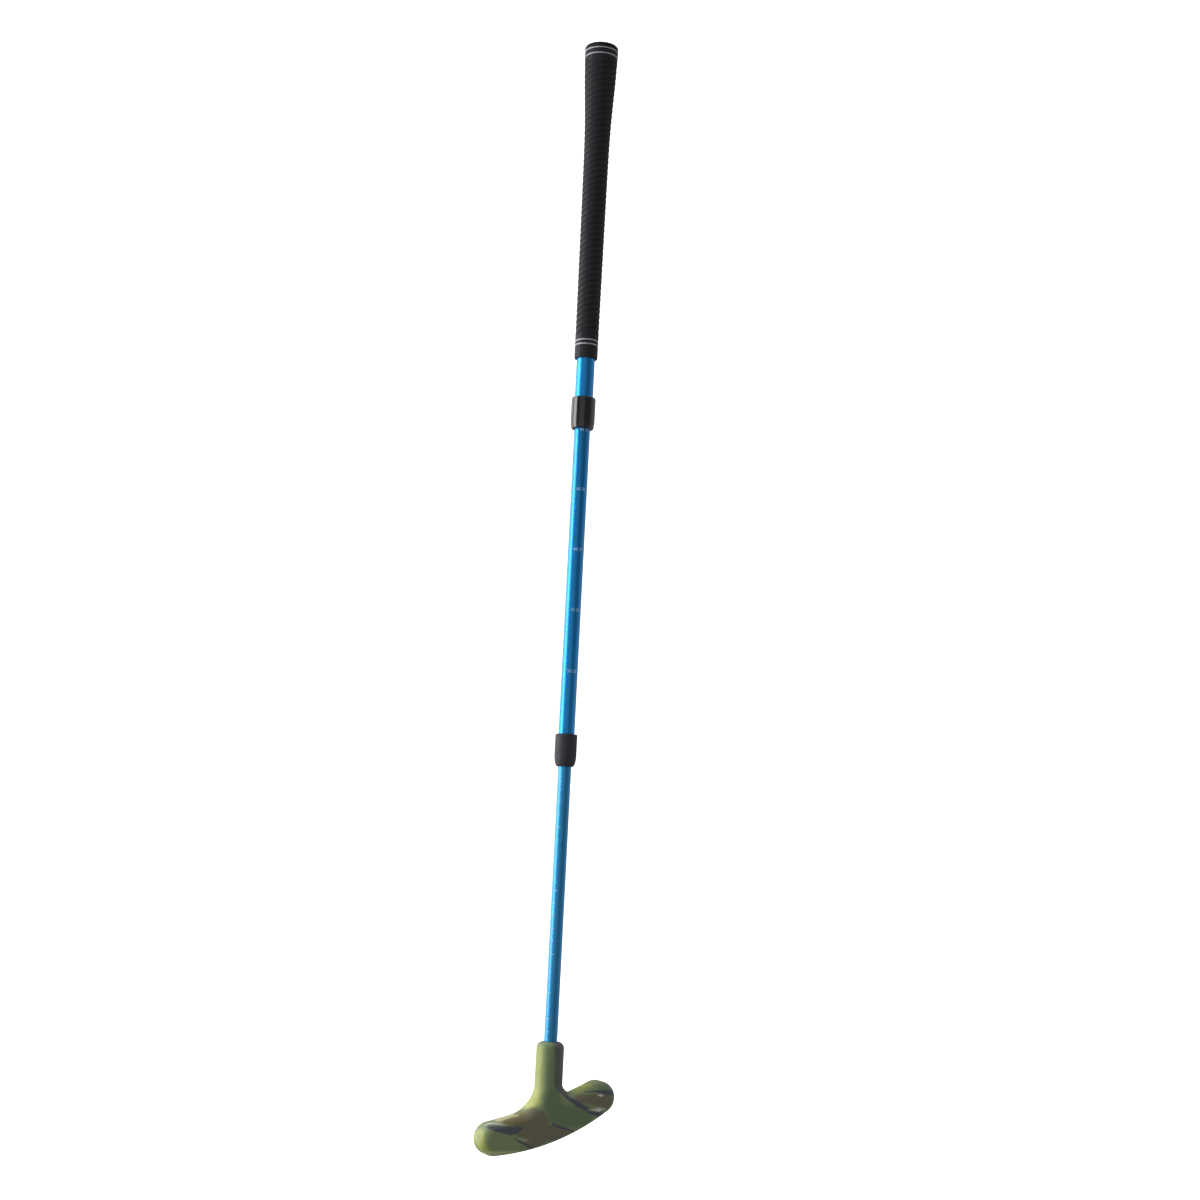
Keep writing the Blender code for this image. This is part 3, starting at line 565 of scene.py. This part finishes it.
def wrappedNumber(word, n, radius, depth):
    # A flat word, cut into upright strips and bent round the tube: the angle is x / radius.
    data = bpy.data.curves.new("number", "FONT")
    data.body = word
    data.size = n["size"]
    data.offset = n["bold"]
    data.align_x = "CENTER"
    data.align_y = "CENTER"
    flat = bpy.data.objects.new("number", data)
    shape = bmesh.new()
    shape.from_mesh(flat.to_mesh())
    bpy.data.objects.remove(flat)
    bpy.data.curves.remove(data)
    for cut in np.arange(-n["half"], n["half"] + 0.1, n["strip"]):
        parts = shape.verts[:] + shape.edges[:] + shape.faces[:]
        bmesh.ops.bisect_plane(shape, geom=parts, plane_co=(cut, 0, 0), plane_no=(1, 0, 0))
    bmesh.ops.triangulate(shape, faces=shape.faces[:])
    at = np.array([v.co[:] for v in shape.verts])
    faces = np.array([[v.index for v in f.verts] for f in shape.faces])
    shape.free()
    angle = math.radians(n["turn"]) + at[:, 0] / radius
    height = at[:, 1] - depth - n["lower"]
    return np.stack([radius * np.cos(angle), radius * np.sin(angle), height], axis=1), faces


n = scales["numbers"]
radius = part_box(n["tube"])[1].x / mm + scales["proud"]
for k, word in enumerate(n["words"]):
    depth = n["first"] + k * n["gap"]
    points, faces = wrappedNumber(word, n, radius, depth)
    inkPiece("number" + word[:2], points, faces, "middle_section")
print("scales printed")


# The head: a two-way blade of two lobes on a long sole arc, whose faces run up into a round hosel
head = {
    # in mm
    "tilt": 20.0,           # degrees, the heel side rises
    "length": 118.0,        # over both lobes
    "drop": 63.0,           # the blade's centre below the hosel's top
    "lobe": 12.65,
    "sole": (184.0, 14.0),  # radius, and depth below the blade's centre
    "topRadius": 400.0,
    "fillets": (24.0, 7.0),     # toe side and heel side of the hosel
    "hosel": 10.95,
    "halfDepth": 12.5,
    "edge": 8.0,
    "hoselRound": 5.0,
    "skin": 3.0,
    "hole": 5.55,
    "holeEdge": 0.3,
    "blend": (31.0, 57.0),  # below the hosel's top, where its roundness begins and ends to fade
    "rowGap": 0.9,
    "innerGap": 3.0,
    "across": 40,           # points from the middle line to the edge's middle
}


def bladePoint(h, along, up):
    # Turns the blade's own (along, up) by its tilt and drops it below the hosel's top.
    c, s = math.cos(math.radians(h["tilt"])), math.sin(math.radians(h["tilt"]))
    return np.stack([along * c - up * s, along * s + up * c - h["drop"]], axis=-1)


def arcPoints(arc, share):
    # centre + radius * (cos, sin) of an angle that runs evenly from start to end. The outward normal is
    # the spoke, turned round on a hollow arc.
    centre, radius, start, end, side = arc
    angle = start + (end - start) * share
    spoke = np.stack([np.cos(angle), np.sin(angle)], axis=-1)
    return centre + spoke * radius, spoke * side


def headRows(h, gap, topZ):
    # Rows round the outline: (place, outward normal, middle-line point). The middle line runs down the
    # hosel's axis to the blade and along the blade's middle to each lobe's centre.
    reach = h["length"] / 2 - h["lobe"]
    soleRadius, soleDepth = h["sole"]
    soleUp = soleRadius - soleDepth
    lobeUp = soleUp - math.sqrt((soleRadius - h["lobe"]) ** 2 - reach ** 2)
    topUp = lobeUp + math.sqrt((h["topRadius"] + h["lobe"]) ** 2 - reach ** 2)
    sole, top, toe, heel = (bladePoint(h, a, u) for a, u in
                            ((0.0, soleUp), (0.0, topUp), (-reach, lobeUp), (reach, lobeUp)))

    def filletCentre(side, radius):
        x = side * (h["hosel"] + radius)
        return np.array([x, top[1] - math.sqrt((h["topRadius"] - radius) ** 2 - (x - top[0]) ** 2)])

    def heading(v):
        return math.atan2(v[1], v[0])

    toeFillet, heelFillet = (filletCentre(s, r) for s, r in zip((-1, 1), h["fillets"]))
    toeBend, heelBend = heading(toeFillet - top), heading(heelFillet - top)
    toeTop, heelTop = heading(toe - top), heading(heel - top)
    toeSole, heelSole = heading(toe - sole), heading(heel - sole)
    arcs = {
        "toeFillet": (toeFillet, h["fillets"][0], 0.0, toeBend, -1),
        "toeTop": (top, h["topRadius"], toeBend, toeTop, -1),
        "toeLobe": (toe, h["lobe"], toeTop + math.pi, toeSole + 2 * math.pi, 1),
        "sole": (sole, soleRadius, toeSole, heelSole, 1),
        "heelLobe": (heel, h["lobe"], heelSole, heelTop + math.pi, 1),
        "heelTop": (top, h["topRadius"], heelTop, heelBend, -1),
        "heelFillet": (heelFillet, h["fillets"][1], heelBend, -math.pi, -1),
    }
    middleUp = (topUp - h["topRadius"] - soleDepth) / 2

    def middleLine(along):
        return bladePoint(h, along, middleUp + (lobeUp - middleUp) * (along / reach) ** 2)

    join = middleUp * math.tan(math.radians(h["tilt"]))
    joinZ = middleLine(np.array(join))[1]
    axisZ = np.linspace(topZ, joinZ, int((topZ - joinZ) / gap) + 1)
    axis = np.stack([axisZ * 0, axisZ], axis=-1)
    toeLine = middleLine(np.linspace(join, -reach, int(reach / gap) + 1))
    heelLine = middleLine(np.linspace(join, reach, int(reach / gap) + 1))

    def hoselSide(side, arc, fromJoin):
        # straight down to the fillet, then round the fillet as the middle line goes on to the blade
        startZ = arc[0][1]
        share = np.clip((startZ - axisZ) / (startZ - joinZ), 0, 1)
        place, normal = arcPoints(arc, 1 - share if fromJoin else share)
        straight = (axisZ >= startZ)[:, None]
        flat = np.stack([axisZ * 0 + side * h["hosel"], axisZ], axis=-1)
        place = np.where(straight, flat, place)
        normal = np.where(straight, np.array([side, 0.0]), normal)
        order = slice(None, None, -1) if fromJoin else slice(None)
        return place[order], normal[order], axis[order]

    def lobeRows(arc):
        count = int(abs(arc[3] - arc[2]) * arc[1] / gap) + 1
        place, normal = arcPoints(arc, np.linspace(0, 1, count))
        return place[1:-1], normal[1:-1], np.tile(arc[0], (count - 2, 1))

    toeShare, heelShare = (np.linspace(0, 1, len(line)) for line in (toeLine, heelLine))
    soleLine = np.concatenate([toeLine[::-1], heelLine[1:]])
    # the sole's share follows the middle line, so that both sides of it meet the same points
    toePart, heelPart = reach + join, reach - join
    soleShare = np.concatenate([(1 - toeShare[::-1]) * toePart, toePart + heelShare[1:] * heelPart])
    runs = [
        hoselSide(-1, arcs["toeFillet"], False),
        (*(part[1:] for part in arcPoints(arcs["toeTop"], toeShare)), toeLine[1:]),
        lobeRows(arcs["toeLobe"]),
        (*arcPoints(arcs["sole"], soleShare / (2 * reach)), soleLine),
        lobeRows(arcs["heelLobe"]),
        (*(part[:-1] for part in arcPoints(arcs["heelTop"], heelShare)), heelLine[:0:-1]),
        hoselSide(1, arcs["heelFillet"], True),
    ]
    return [np.concatenate(parts) for parts in zip(*runs)]


def headSections(h, rows, inset):
    # Across each row, by distance from the middle line: straight out at the full depth, a quarter circle
    # down to the edge, and a flat band to the middle plane; then the same again to the back. The depth
    # and the edge's radius blend from the blade's to the hosel's by a smooth step down its axis.
    place, normal, middle = rows
    begin, end = h["blend"]
    onAxis = np.abs(middle[:, 0]) < 1e-6
    fade = np.clip((middle[:, 1] + end) / (end - begin), 0, 1)
    roundness = np.where(onAxis, fade * fade * (3 - 2 * fade), 0.0)
    depth = h["halfDepth"] + (h["hosel"] - h["halfDepth"]) * roundness - inset
    edge = h["edge"] + (h["hosel"] - h["edge"]) * roundness - inset
    rim = place - normal * inset
    inner = rim - normal * edge[:, None]
    flat = np.linalg.norm(inner - middle, axis=1)
    quarter = edge * np.pi / 2
    travel = np.linspace(0, 1, h["across"])[None, :] * (flat + quarter + depth - edge)[:, None]
    flat, quarter, depth, edge = (v[:, None] for v in (flat, quarter, depth, edge))
    share = np.clip(travel / np.maximum(flat, 1e-9), 0, 1)[..., None]
    face = middle[:, None] + (inner - middle)[:, None] * share
    bend = np.clip((travel - flat) / edge, 0, np.pi / 2)
    curve = rim[:, None] - normal[:, None] * (edge * (1 - np.sin(bend)))[..., None]
    band = np.maximum(travel - flat - quarter, 0)
    xz = np.where((travel <= flat)[..., None], face, curve)
    y = np.where(travel <= flat, -depth, -(depth - edge) - edge * np.cos(bend) + band)
    front = np.stack([xz[..., 0], y, xz[..., 1]], axis=-1)
    back = front[:, -2::-1] * np.array([1, -1, 1])
    return np.concatenate([front, back], axis=1)


def hoselTop(profile, across, side):
    # Half circles at each (radius, z) of the profile, from the front over one side to the back.
    turn = np.linspace(0, np.pi, 2 * across - 1)[None, :]
    radius, z = profile[:, :1], profile[:, 1:]
    return np.stack([side * radius * np.sin(turn), -radius * np.cos(turn), z + turn * 0], axis=-1)


def headGrid(h, gap, inset, topProfile):
    # One sheet: up out of the hole over the toe's side of the rim, all rows, and back over the heel's side.
    topZ = topProfile[-1][1]
    body = headSections(h, headRows(h, gap, topZ), inset)
    rim = np.array(topProfile[:-1])
    return np.concatenate([hoselTop(rim, h["across"], -1), body, hoselTop(rim, h["across"], 1)[::-1]])


def headPiece(h, finish):
    # Outer skin and the space inside it, which meet at the shaft's hole; the seams are then welded.
    bend = np.linspace(0, np.pi / 2, 9)
    hole, edge, rounding = h["hole"], h["holeEdge"], h["hoselRound"]
    rimTop = [(h["hosel"] - rounding * (1 - math.sin(a)), rounding * (math.cos(a) - 1)) for a in bend]
    # down the hole there is one more row, 1 mm from its mouth
    outerTop = [(hole, -h["skin"]), (hole, -1.0), (hole, -edge), (hole + edge, 0.0), *rimTop]
    innerTop = [(hole, -h["skin"]), (h["hosel"] - h["skin"], -h["skin"])]
    outer = headGrid(h, h["rowGap"], 0.0, outerTop)
    inner = headGrid(h, h["innerGap"], h["skin"], innerTop)
    outerFaces = gridFaces(*outer.shape[:2])
    innerFaces = gridFaces(*inner.shape[:2])[:, ::-1] + outer.shape[0] * outer.shape[1]
    points = np.concatenate([outer.reshape(-1, 3), inner.reshape(-1, 3)])
    points[:, 2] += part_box("head_cover")[1].z / mm
    faces = np.concatenate([outerFaces, innerFaces])
    piece = newPiece("headCover", points * mm, faces, "lower_section", finish, sharp=60)
    shape = bmesh.new()
    shape.from_mesh(piece.data)
    bmesh.ops.remove_doubles(shape, verts=shape.verts[:], dist=0.01 * mm)
    bmesh.ops.dissolve_degenerate(shape, edges=shape.edges[:], dist=0.001 * mm)
    bmesh.ops.recalc_face_normals(shape, faces=shape.faces[:])
    openEdges = [e for e in shape.edges if not e.is_manifold]
    print("head made,", len(shape.faces), "faces,", len(openEdges), "open edges")
    shape.to_mesh(piece.data)
    shape.free()
    piece.data.shade_smooth()
    return piece


# Camouflage on the head: marbled rubber, where streaks of coloured stock were rolled into green. Over them
# lie
# streaks of painted light: painted highlights on lit edges and sides, painted glints and painted light
# bounced up from below. Each streak runs from one point to another, in mm across the head and below the
# hosel's top.
camouflage = {
    "wander": (2.4, 0.0, 1.8),      # mm, how far the flow in the mould moves the streaks about
    "drift": (0.2, 0.22),           # mm across and down for each mm behind the front face
    "rough": 0.48,
    "greenShade": "#6F7D5A",        # the darker clouds of the green
    "green": "#74825A",
    # painted highlight: the green of the lit sides of the hosel, the toe lobe and the heel arm's top edge
    "paleGreen": "#8F974E",
    # painted light bounced up from below onto the toe arm's lower edge
    "leafGreen": "#A4B27C",
    "deepGreen": "#5C6F4F",
    "brown": "#686450",
    "olive": "#625937",
    # painted highlight on the lit top edge of the toe arm and the hosel's toe-side rim
    "paintedRimSand": "#B9B38C",
    "charcoal": "#4B4E4B",
    "navy": "#464B52",
    # painted glint, greyish
    "paintedGlintGrey": "#8F8A7C",
    # painted glints
    "pale": "#C4C1C4",
    # mm across the head, from the front, where a painted highlight or glint begins to fade and where it has
    # gone
    "fades": {"pale": (-7.0, 1.0), "paintedGlintGrey": (-7.0, 1.0), "paintedRimSand": (2.0, 9.0)},
    "streaks": [
        # stock or painted light, start, end, half width at each, width of its soft edge; later ones lie on
        # top
        # painted highlight down the hosel's lit toe side
        ("paleGreen", (-8.5, -4.0), (-9.5, -42.0), 2.0, 3.4, 5.0),
        ("deepGreen", (-4.5, -2.0), (-3.5, -36.0), 2.0, 2.5, 8.0),
        # painted highlight fading from the hosel into the neck
        ("paleGreen", (-9.5, -42.0), (-15.5, -48.0), 4.0, 1.6, 4.0),
        ("deepGreen", (-1.5, -42.0), (4.0, -55.3), 7.0, 8.0, 6.0),
        ("deepGreen", (8.4, -56.6), (27.0, -55.4), 8.5, 7.5, 4.0),
        # painted highlight along the heel arm's lit top edge
        ("paleGreen", (22.0, -37.6), (33.5, -30.8), 1.0, 1.7, 2.6),
        ("paleGreen", (33.5, -30.8), (39.0, -29.3), 1.7, -0.4, 2.6),
        ("deepGreen", (41.0, -33.2), (50.0, -33.4), 2.8, 3.2, 3.0),
        ("olive", (-36.0, -60.0), (-22.0, -56.6), 2.4, 3.6, 2.5),
        ("olive", (-22.0, -56.6), (-14.0, -50.5), 3.6, 1.5, 3.5),
        ("olive", (-38.0, -61.0), (-23.0, -60.5), 1.6, 2.4, 2.4),
        # painted highlight on the toe arm's lit top edge
        ("paintedRimSand", (-41.0, -58.2), (-26.4, -53.4), 0.7, 1.2, 2.8),
        # painted highlight on the hosel's lit toe-side rim
        ("paintedRimSand", (-9.3, -12.0), (-9.5, -32.0), 0.0, 0.1, 1.6),
        # painted highlight round the toe lobe's lit side
        ("paleGreen", (-54.5, -64.0), (-55.8, -77.0), 0.6, 1.4, 2.6),
        ("paleGreen", (-55.8, -77.0), (-48.5, -84.4), 1.4, 1.0, 2.6),
        # painted light bounced up from below onto the toe arm's lower edge
        ("leafGreen", (-51.0, -83.6), (-25.0, -82.4), 1.5, 0.6, 3.0),
        ("brown", (-13.2, -60.2), (-13.8, -71.0), 9.8, 10.0, 4.2),
        ("brown", (-27.2, -69.8), (-17.0, -67.5), 1.8, 5.0, 2.4),
        # painted highlight, going on along the toe arm's top edge
        ("paintedRimSand", (-26.4, -53.4), (-14.0, -45.5), 1.2, 0.0, 3.2),
        ("brown", (-2.5, -68.0), (17.0, -72.5), 5.3, 5.3, 1.6),
        ("brown", (22.0, -42.3), (47.2, -44.6), 3.4, 5.2, 2.0),
        # darker over the hosel's heel half, from its top down to the neck
        ("charcoal", (9.0, -1.0), (9.5, -30.0), 9.5, 8.6, 5.5),
        ("charcoal", (9.5, -30.0), (11.5, -40.5), 8.0, 1.8, 3.0),
        ("navy", (11.2, -40.2), (20.9, -46.9), 1.7, 2.1, 1.4),
        ("navy", (20.9, -46.9), (29.1, -50.6), 2.1, 1.2, 1.4),
        ("navy", (30.0, -53.0), (43.0, -55.2), 0.9, 2.0, 1.4),
        ("navy", (-49.6, -64.1), (-45.5, -65.2), 1.8, 2.5, 1.8),
        ("navy", (-45.5, -65.2), (-34.5, -66.5), 2.5, 3.3, 1.8),
        ("navy", (-34.5, -66.5), (-29.2, -66.0), 3.3, 3.1, 2.0),
        ("navy", (-29.2, -66.0), (-22.5, -64.0), 3.1, 0.2, 2.6),
        ("navy", (-31.5, -72.4), (-25.5, -75.6), 0.3, 0.8, 1.0),
        ("navy", (-25.5, -75.6), (-13.0, -80.3), 0.8, 0.6, 1.0),
        ("navy", (0.0, -62.0), (8.8, -64.8), 0.7, 0.9, 1.0),
        ("navy", (8.8, -64.8), (20.5, -67.7), 0.9, 0.4, 1.0),
        ("navy", (28.0, -37.3), (36.8, -37.0), 0.4, 0.9, 1.2),
        ("navy", (36.8, -37.0), (51.5, -38.2), 1.0, 2.5, 1.4),
        # painted glints above the toe lobe's dark streak
        ("pale", (-50.6, -61.5), (-47.3, -60.0), 0.1, 0.6, 2.0),
        ("pale", (-47.3, -60.0), (-43.6, -61.0), 0.6, 0.2, 2.0),
        ("pale", (-43.6, -61.0), (-34.0, -62.3), 0.2, -0.5, 2.0),
        # painted glint by the small dark streak on the toe arm
        ("paintedGlintGrey", (-28.2, -72.2), (-22.6, -73.9), -0.2, 0.8, 1.8),
        ("paintedGlintGrey", (-22.6, -73.9), (-16.8, -75.2), 0.8, -0.4, 1.8),
        # painted glints on the heel arm
        ("pale", (36.0, -39.8), (39.8, -40.0), -0.5, 0.8, 2.0),
        ("pale", (39.8, -40.0), (43.5, -40.2), 0.8, -0.4, 2.0),
        ("pale", (29.5, -51.2), (39.0, -51.2), -0.5, 1.1, 2.2),
        ("pale", (39.0, -51.2), (46.5, -50.6), 1.1, -0.4, 2.2),
    ],
}


# Synthetic rubber, moulded round the casting from coloured stocks: satin, with soft edges between colours.
# Some streaks are not stock but painted highlights, painted glints and painted bounced light.
def camouflageRubber(s, topZ, halfDepth):
    made, tree, shader, place = newMaterial("camouflageRubber", Specular_IOR_Level=0.35)

    def vectorMaths(operation, first, second):
        node = addNode(tree, "ShaderNodeVectorMath", links={0: first}, operation=operation)
        feed(tree, second, node.inputs[1])
        return node

    local = vectorMaths("ADD", place, (0.0, 0.0, -topZ)).outputs[0]
    # the mould's flow: a slow wander of about 1 mm, and a drift from the front face to the back
    wander = addNode(tree, "ShaderNodeTexNoise", {"Scale": 1 / 16, "Detail": 2.0}, {"Vector": local})
    centred = vectorMaths("SUBTRACT", wander.outputs["Color"], (0.5, 0.5, 0.5)).outputs[0]
    flow = vectorMaths("MULTIPLY", centred, s["wander"]).outputs[0]
    split = addNode(tree, "ShaderNodeSeparateXYZ", links={0: vectorMaths("ADD", local, flow).outputs[0]})
    across, deep, up = split.outputs
    behind = maths(tree, "ADD", deep, halfDepth)
    driftX, driftZ = (maths(tree, "MULTIPLY_ADD", behind, drift, value)
                      for drift, value in zip(s["drift"], (across, up)))
    plane = addNode(tree, "ShaderNodeCombineXYZ", links={0: driftX, 2: driftZ}).outputs[0]
    tone = spread(tree, spots(tree, local, 22, detail=3.0), 0.35, 0.65)
    tint = twoTones(tree, tone, s["greenShade"], s["green"])
    for stockOrPaintedLight, start, end, halfStart, halfEnd, soft in s["streaks"]:
        # distance to the streak's line: |p - start - line * clamp((p - start) . line / line . line)|, less
        # the half width, which runs evenly from one end to the other
        startPoint = Vector((start[0], 0, start[1]))
        line = Vector((end[0], 0, end[1])) - startPoint
        fromStart = vectorMaths("SUBTRACT", plane, startPoint).outputs[0]
        share = vectorMaths("DOT_PRODUCT", fromStart, line / line.length_squared).outputs["Value"]
        held = addNode(tree, "ShaderNodeClamp", links={0: share}).outputs[0]
        along = addNode(tree, "ShaderNodeVectorMath", {0: line}, {"Scale": held}, operation="SCALE")
        away = vectorMaths("DISTANCE", fromStart, along.outputs[0]).outputs["Value"]
        beyond = maths(tree, "MULTIPLY_ADD", held, halfStart - halfEnd, away)
        mask = spread(tree, beyond, halfStart + soft / 2, halfStart - soft / 2, smooth=True)
        # painted highlights and glints fade out towards the back
        if stockOrPaintedLight in s["fades"]:
            near, far = s["fades"][stockOrPaintedLight]
            mask = maths(tree, "MULTIPLY", mask, spread(tree, deep, far, near, smooth=True))
        # lays the stock's colour, or a painted highlight, glint or bounced light, over the colours below
        tint = twoTones(tree, mask, tint, s[stockOrPaintedLight])
    worn = varied(tree, spots(tree, local, 6, detail=4.0), s["rough"], change=0.06)
    # the mould's blasted skin, 0.3 mm grit
    grit = spots(tree, local, 0.3)
    feedShader(tree, shader, tint, worn, grit, strength=0.35, depth=0.03)
    return made


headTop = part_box("head_cover")[1].z / mm
cover = headPiece(head, camouflageRubber(camouflage, headTop, head["halfDepth"]))
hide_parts("head_cover")


# The inner pieces keep their CAD shapes and get their real finishes
innerFinishes = {
    "grip_tape": creasedTape,
    "upper_plug": naturalNylon, "lower_plug": naturalNylon,
    "upper_expander": naturalNylon, "lower_expander": naturalNylon,
    "upper_screw": platedSteel, "lower_screw": platedSteel,
    "upper_stop": platedSteel, "lower_stop": platedSteel,
    "upper_cone": turnedBrass, "lower_cone": turnedBrass,
    "head_core": castZinc,
}
for node, finish in innerFinishes.items():
    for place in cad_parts[node].material_slots:
        place.material = finish
print("inner pieces finished")


# Studio: a white sweep that only the camera sees, a room with a pale floor and a lit ceiling, and four soft
# boxes round the club. Each box stands at an angle to the camera's own direction, negative to its left.
studio = {
    "floorLight": 0.34,
    "wallLight": 0.2,
    "ceilingLight": 0.8,
    # sines of the slopes between which the floor's light goes over to the walls', and the ceiling begins
    "wallFoot": (-0.1, 0.25),
    "ceilingEdge": (0.65, 0.8),
    # in metres
    "sweep": {"radius": 3.2, "floor": -1.6, "wall": 2.6, "curve": 1.0, "roofIn": 1.5, "roofUp": 1.2},
    "sweepLight": 1.0,
    "boxes": {
        # angle in degrees; distance, height, width and length in metres; brightness of its cloth
        "keyBox": (-84.0, 1.3, -0.35, 0.8, 1.7, 7.1),
        "behindBox": (-128.0, 1.4, -0.4, 0.8, 1.7, 2.3),
        "frontBox": (-12.0, 1.7, -0.45, 1.5, 1.9, 0.47),
        "sideBox": (107.0, 1.5, -0.45, 1.7, 1.8, 0.46),
    },
}


def sweepPoints(s):
    # A floor disc, a quarter circle up to a round wall, and a roof over it: centre + curve * (cos, sin).
    bend = np.linspace(-np.pi / 2, 0, 12)
    curve, wall = s["curve"], s["radius"]
    rising = np.stack([wall + curve * (np.cos(bend) - 1), s["floor"] + curve * (1 + np.sin(bend))], axis=1)
    top = s["wall"] + s["roofUp"]
    profile = np.array([(0, s["floor"]), *rising, (wall, s["wall"]), (wall - s["roofIn"], top), (0, top)])
    return turnedGrid(profile[:, 0], profile[:, 1], 64)


def makeStudio(s):
    grid = sweepPoints(s["sweep"])
    white, tree, shader, place = newMaterial("paleStudioPaint", Roughness=0.9,
                                             Emission_Strength=s["sweepLight"])
    paint = twoTones(tree, spots(tree, place, 400), "#FDFDFD", "#FFFFFF")
    tree.links.new(paint, shader.inputs["Base Color"])
    tree.links.new(paint, shader.inputs["Emission Color"])
    mesh = bpy.data.meshes.new("studioSweep")
    mesh.from_pydata(grid.reshape(-1, 3), [], gridFaces(*grid.shape[:2], False, True).tolist())
    mesh.materials.append(white)
    mesh.shade_smooth()
    sweep = bpy.data.objects.new("studioSweep", mesh)
    bpy.context.scene.collection.objects.link(sweep)
    sweep.visible_diffuse = sweep.visible_glossy = sweep.visible_shadow = False
    room = bpy.data.worlds.new("studioRoom")
    room.use_nodes = True
    # the direction's height is the sine of its slope
    tree = room.node_tree
    sky = addNode(tree, "ShaderNodeTexCoord")
    split = addNode(tree, "ShaderNodeSeparateXYZ", links={0: sky.outputs["Generated"]})
    walls = spread(tree, split.outputs[2], *s["wallFoot"], s["floorLight"], s["wallLight"])
    ceiling = spread(tree, split.outputs[2], *s["ceilingEdge"], 0.0, s["ceilingLight"])
    tree.links.new(maths(tree, "ADD", walls, ceiling), tree.nodes["Background"].inputs["Strength"])
    tree.nodes["Background"].inputs["Color"].default_value = (1, 1, 1, 1)
    bpy.context.scene.world = room
    eye = Vector(camera["place"]).xy.normalized()
    for name, (angle, distance, height, wide, tall, bright) in s["boxes"].items():
        data = bpy.data.lights.new(name, "AREA")
        data.shape = "RECTANGLE"
        # watts = brightness * pi * area
        data.size, data.size_y, data.energy = wide, tall, bright * math.pi * wide * tall
        box = bpy.data.objects.new(name, data)
        turn = math.atan2(eye.y, eye.x) + math.radians(angle)
        box.location = (distance * math.cos(turn), distance * math.sin(turn), height)
        aim = Vector((0, 0, height)) - box.location
        box.rotation_euler = aim.to_track_quat("-Z", "Y").to_euler()
        box.visible_camera = False
        bpy.context.scene.collection.objects.link(box)


makeStudio(studio)
bpy.context.scene.view_settings.view_transform = "Standard"
print("studio lit")
